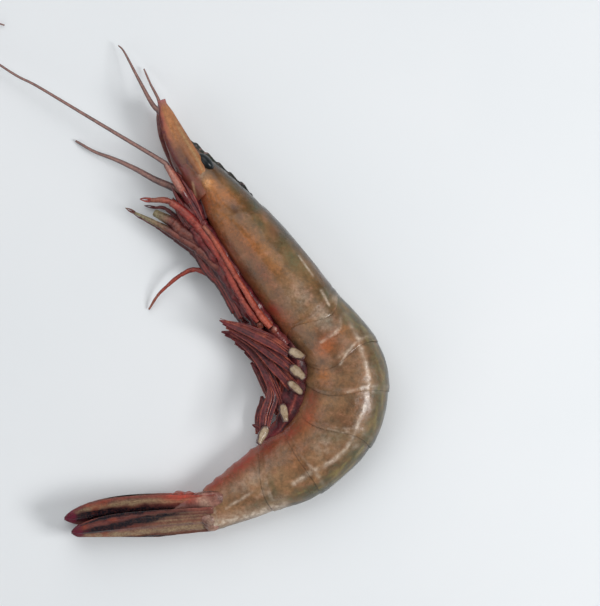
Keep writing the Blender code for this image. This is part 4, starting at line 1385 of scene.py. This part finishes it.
# %% Feelers
# Each feeler: its node, root in plan, steps of length and heading, the root's rise over the middle
# plane, the tip's height and the radius at each joint.
FEELERS = (
    ("antenna_left", (-30.2, 28.6),
     ((3.9, 122), (4.0, 122), (2.4, 135), (13.6, 149), (12.1, 149), (12.1, 149), (5.8, 153),
      (6.2, 147), (7.1, 144), (4.7, 117), (3.7, 45), (3.9, 0), (3.0, -15)), 3.4, 0.5,
     (0.9, 1.05, 0.8, 0.6, 0.5, 0.42, 0.36, 0.33, 0.3, 0.27, 0.25, 0.22, 0.2, 0.18)),
    ("antenna_right", (-29.3, 28.3),
     ((4.6, 155), (5.1, 156), (5.4, 151), (6.0, 155), (5.8, 159), (5.7, 150)), -2.6, 0.6,
     (1.3, 1.0, 0.85, 0.7, 0.55, 0.42, 0.3)),
    ("antennule_left", (-28.4, 38.6),
     ((5.0, 126), (8.2, 125), (3.3, 135), (8.0, 119), (7.7, 118), (2.4, 131)), 1.3, 2.0,
     (1.1, 1.05, 0.85, 0.62, 0.4, 0.26, 0.16)),
    ("antennule_right", (-29.6, 37.6),
     ((5.4, 125), (8.0, 115), (3.7, 102), (4.7, 117), (4.5, 114)), -1.4, 1.2,
     (1.1, 0.85, 0.6, 0.42, 0.3, 0.2)),
)
feeler_finish = chitin("wet chitin of the feelers", "#7a5650", "#4c3c40", (
    ("base", "#ab6251", 0.9), ("root", "#5a2126", 0.95), ("ridge", "#b08374", 0.55)), cloud_size=3.0,
    grain_size=0.5)


FEELER_START = 4.2


def feeler_masks(plan, across, lengthwise):
    """A dark root, a salmon base, and a painted highlight along the top of the base."""
    return {
        "base": ramp(lengthwise, 0.24, -0.06),
        "root": ramp(lengthwise, 0.088, -0.02) * 2.0,
        "ridge": ramp(across, 0.75, 0.2) * ramp(lengthwise, 0.085, 0.02),
    }


for name, root, steps, root_rise, tip_height, radii in FEELERS:
    points = path_points(root, steps, REST_HEIGHT + root_rise, tip_height)
    back = along(steps[0][1]) * -FEELER_START
    points.insert(0, points[0] + Vector((back.x, back.y, -0.7 * root_rise)))
    radii = (1.0, *radii)
    skin = bmesh.new()
    tube(skin, points, lambda place: float(np.interp(place, range(len(radii)), radii)), spacing=0.4)
    add_piece(f"feeler_{name}", skin, feeler_finish, [name], lumpy(0.06, 0.9, 61.0),
              feeler_masks)

# %% [markdown]
# ## Swimming legs
# Five pairs of paddles hang under the abdomen, folded forward over each other. Each has a
# short pale base of muscle and two long dark leaves with red edges, and fine red rays run down
# them.

# %% Swimming legs
# Each paddle: its root in plan, steps of length and heading, and rise over the middle plane.
SWIMMERS = {
    "left": (
        ((-2.9, -13.1), ((5.9, 146), (7.2, 155), (6.9, 161)), 6.0),
        ((-1.6, -17.6), ((7.4, 140), (6.9, 146), (6.7, 157)), 4.3),
        ((-1.9, -21.8), ((6.7, 130), (7.6, 133), (7.4, 152)), 2.6),
        ((-4.6, -28.0), ((6.3, 110), (7.3, 115), (6.2, 132), (4.1, 157)), 0.9),
        ((-9.4, -33.6), ((4.5, 82), (5.3, 75), (4.0, 104)), 4.3),
    ),
    "right": (
        ((-3.9, -14.2), ((5.9, 150), (6.6, 159), (5.5, 165)), -5.9),
        ((-3.0, -18.8), ((6.4, 142), (6.0, 150), (4.0, 158)), -4.2),
        ((-3.2, -23.0), ((5.7, 132), (5.6, 136), (4.0, 150)), -2.5),
        ((-5.4, -28.8), ((5.3, 112), (6.0, 118), (4.0, 130)), -0.8),
        ((-10.2, -34.2), ((4.0, 90), (3.5, 80), (2.5, 100)), -4.2),
    ),
}
SWIMMER_DROOP = 0.4
PADDLE_WIDTHS = (3.6, 2.8)
PADDLE_SHAPE = {"taper": 0.7, "widest": 0.35, "point": 0.05, "around": 36, "rib": 0.12, "sharp": 0.8}
# The pale base of each paddle: middle in plan, heading of its long side, length, width, and how
# far it stands over the middle plane.
BASES = (
    ((-0.9, -13.2), 152, 4.6, 2.7, 6.6), ((-0.7, -18.0), 137, 4.9, 2.8, 5.0),
    ((-1.3, -22.0), 138, 4.8, 2.4, 3.6), ((-4.2, -28.5), 100, 4.9, 2.3, 3.2),
    ((-9.7, -34.2), 64, 5.2, 2.4, 5.0),
)
# The small leaf behind the last pair: places in plan, and rise over the middle plane.
SMALL_PADDLE = ((-9.2, -33.0, 3.0), (-10.6, -32.2, 3.2), (-12.4, -31.6, 3.0))
RAYS = 4

paddle_finish = chitin("wet dark skin of the paddles", "#62252a", "#30111a", (
    ("rib", "#9a4a3c", 0.75), ("edge", "#a04c3c", 0.85), ("tip", "#7e2a32", 0.7)), cloud_size=2.0,
    grain_size=0.5, rough=(0.35, 0.55), coat=0.08)
flesh_finish = chitin("pale muscle of the paddle bases", "#ab977d", "#8a745b", (
    ("rim", "#43202a", 0.95),), cloud_size=1.4, grain_size=0.5)


def paddle_masks(plan, across, lengthwise):
    """Red edges, ribs and a redder tip."""
    patchy = 0.3 + 1.1 * cloudy(plan, 2.4, 81.0)
    return {
        "edge": ramp(np.abs(across), 0.76, 0.16) * patchy,
        "rib": (hump(across, 0.0, 0.08) + 0.6 * hump(across, 0.42, 0.07)) * patchy,
        "tip": ramp(lengthwise, 0.8, 0.15),
    }


def paddle_relief(plan, across, lengthwise):
    """Long fine pleats down each paddle."""
    return 0.07 * np.cos(across * 22.0) + uneven(plan, 0.14, 1.4, 82.0)


def flesh_masks(plan, across, lengthwise):
    """Darker round the edge of a base, round its pale muscle."""
    out_of_middle = np.maximum(np.abs(across), np.abs(lengthwise - 0.5) * 2.0)
    return {"rim": ramp(out_of_middle + uneven(plan, 0.35, 1.2, 83.0), 0.70, 0.14)}


def ray_masks(plan, across, lengthwise):
    """Dark stretches along the rays."""
    return {"joint": cloudy(plan, 2.0, 86.0) * 3.0 - 1.2}


ray_finish = chitin("red rays of the paddles", "#b0604a", "#7c3530", (
    ("joint", "#4c1a20", 0.95),), 2.0, 0.5, coat=0.15)
chance = random.Random(12)


def paddle_rays(made, points, width, side):
    """Fine rays that run down a paddle and draw together at its tip."""
    for _ in range(RAYS):
        offset, size = chance.uniform(-0.85, 0.85), chance.uniform(0.09, 0.21)
        strand = []
        last = len(points) - 1
        for k, point in enumerate(points):
            share = k / last
            ahead = points[min(k + 1, last)] - points[max(k - 1, 0)]
            across = UP.cross(ahead).normalized()
            spread = width / 2.0 * (offset * (1.0 - 0.75 * share ** 2) + chance.uniform(-0.12, 0.12))
            strand.append(point + across * spread + UP * side * (0.46 - 0.12 * abs(offset)))
        tube(made, strand, lambda place: size * (1.0 - 0.2 * place), spacing=0.5, around=8)


for label, side in SIDES:
    for number, (root, steps, rise) in enumerate(SWIMMERS[label], start=1):
        height = REST_HEIGHT + rise
        points = path_points(root, steps, height, height - SWIMMER_DROOP)
        inner = [p + Vector((1.1, -1.3, -side * 0.7)) * (k / len(points)) for k, p in enumerate(points)]
        skin = bmesh.new()
        leaf(skin, points, PADDLE_WIDTHS[0], roll=14.0 * side, thickness=0.8, **PADDLE_SHAPE)
        leaf(skin, inner, PADDLE_WIDTHS[1], roll=-12.0 * side, thickness=0.7, **PADDLE_SHAPE)
        add_piece(f"paddle_{label}_{number}", skin, paddle_finish,
                  [f"pleopod_{label}_{number}"], paddle_relief, paddle_masks)
        skin = bmesh.new()
        paddle_rays(skin, points, PADDLE_WIDTHS[0], side)
        add_piece(f"paddle_rays_{label}_{number}", skin, ray_finish, masks=ray_masks)
        (x, y), heading, length, width, stand = BASES[number - 1]
        ahead = along(heading).to_3d() * length / 2.0
        middle = Vector((x, y, REST_HEIGHT + side * stand))
        skin = bmesh.new()
        leaf(skin, [middle - ahead, middle - ahead * 0.3, middle + ahead * 0.4, middle + ahead], width,
             roll=16.0 * side, thickness=2.2, taper=0.62, widest=0.55, point=0.3, around=36, spacing=0.2,
             sharp=0.35)
        add_piece(f"paddle_base_{label}_{number}", skin, flesh_finish, (),
                  lumpy(0.3, 1.1, 84.0), flesh_masks)
skin = bmesh.new()
leaf(skin, [Vector((x, y, REST_HEIGHT + rise)) for x, y, rise in SMALL_PADDLE], width=2.0, roll=0.0,
     thickness=0.7, taper=0.8, widest=0.3, point=0.05, around=24, sharp=0.8)
add_piece("paddle_small", skin, paddle_finish, (), paddle_relief, paddle_masks)

# %% [markdown]
# Between the bases the soft dark skin of the belly shows, a cushion along the inside of the bend.

# %% Belly skin
BELLY_ROWS = 180
BELLY_SINK = 1.4
# Place along the abdomen, how far the skin stands out from the shell, half width.
BELLY_SKIN = ((0.12, 1.2, 2.6), (0.6, 3.6, 3.6), (1.2, 6.0, 3.4), (2.0, 6.6, 3.0), (3.0, 6.2, 2.7),
              (3.7, 5.0, 2.6), (4.2, 3.0, 2.8), (4.9, 1.0, 2.2))

belly_places, belly_depths, belly_widths = zip(*BELLY_SKIN)
belly_rings = []
for k in range(BELLY_ROWS + 1):
    place = belly_places[0] + (belly_places[-1] - belly_places[0]) * k / BELLY_ROWS
    back, belly = curve_through(BACK, place), curve_through(BELLY, place)
    outward = (belly - back).normalized()
    depth = float(np.interp(place, belly_places, belly_depths))
    wide = float(np.interp(place, belly_places, belly_widths))
    belly_rings.append(shell_ring(
        belly + outward * (depth / 2.0 - BELLY_SINK), -outward * (depth / 2.0 + BELLY_SINK), wide,
        curve_through(HEIGHTS, place), Vector((-outward.y, outward.x)), 0.0, 0.0, 1.0))
skin = bmesh.new()
wrap(skin, belly_rings, 72)
fill_ends(skin)
add_piece("belly_skin", skin, paddle_finish, (), lumpy(0.9, 2.2, 85.0), paddle_masks)

# %% [markdown]
# ## Under the chest
# The legs grow from a narrow keel under the shield. It is dark maroon and mostly hidden.

# %% Keel
KEEL_DEPTH, KEEL_HALF_WIDTH = 5.2, 2.9
KEEL_ROWS = 120
KEEL_START, KEEL_SHARE = 0.06, 0.84

keel_rings = []
for k in range(KEEL_ROWS + 1):
    t = KEEL_START + KEEL_SHARE * k / KEEL_ROWS
    centre, reach, tilt = carapace_edge(t)
    ease = smooth_step(0.0, 0.23, t) * smooth_step(0.95, 0.6, t)
    top = centre - reach - along(tilt) * 0.4
    bottom = top - along(tilt) * KEEL_DEPTH * ease
    keel_rings.append(shell_ring((top + bottom) / 2.0, (top - bottom) / 2.0, KEEL_HALF_WIDTH * ease,
                                 REST_HEIGHT, along(tilt - 90.0), 0.0, 0.0, 1.0))
skin = bmesh.new()
wrap(skin, keel_rings, 60)
fill_ends(skin)
add_piece("chest_keel", skin, mouth_finish, ["thorax_floor"], lumpy(0.8, 2.0, 91.0),
          mouth_masks)
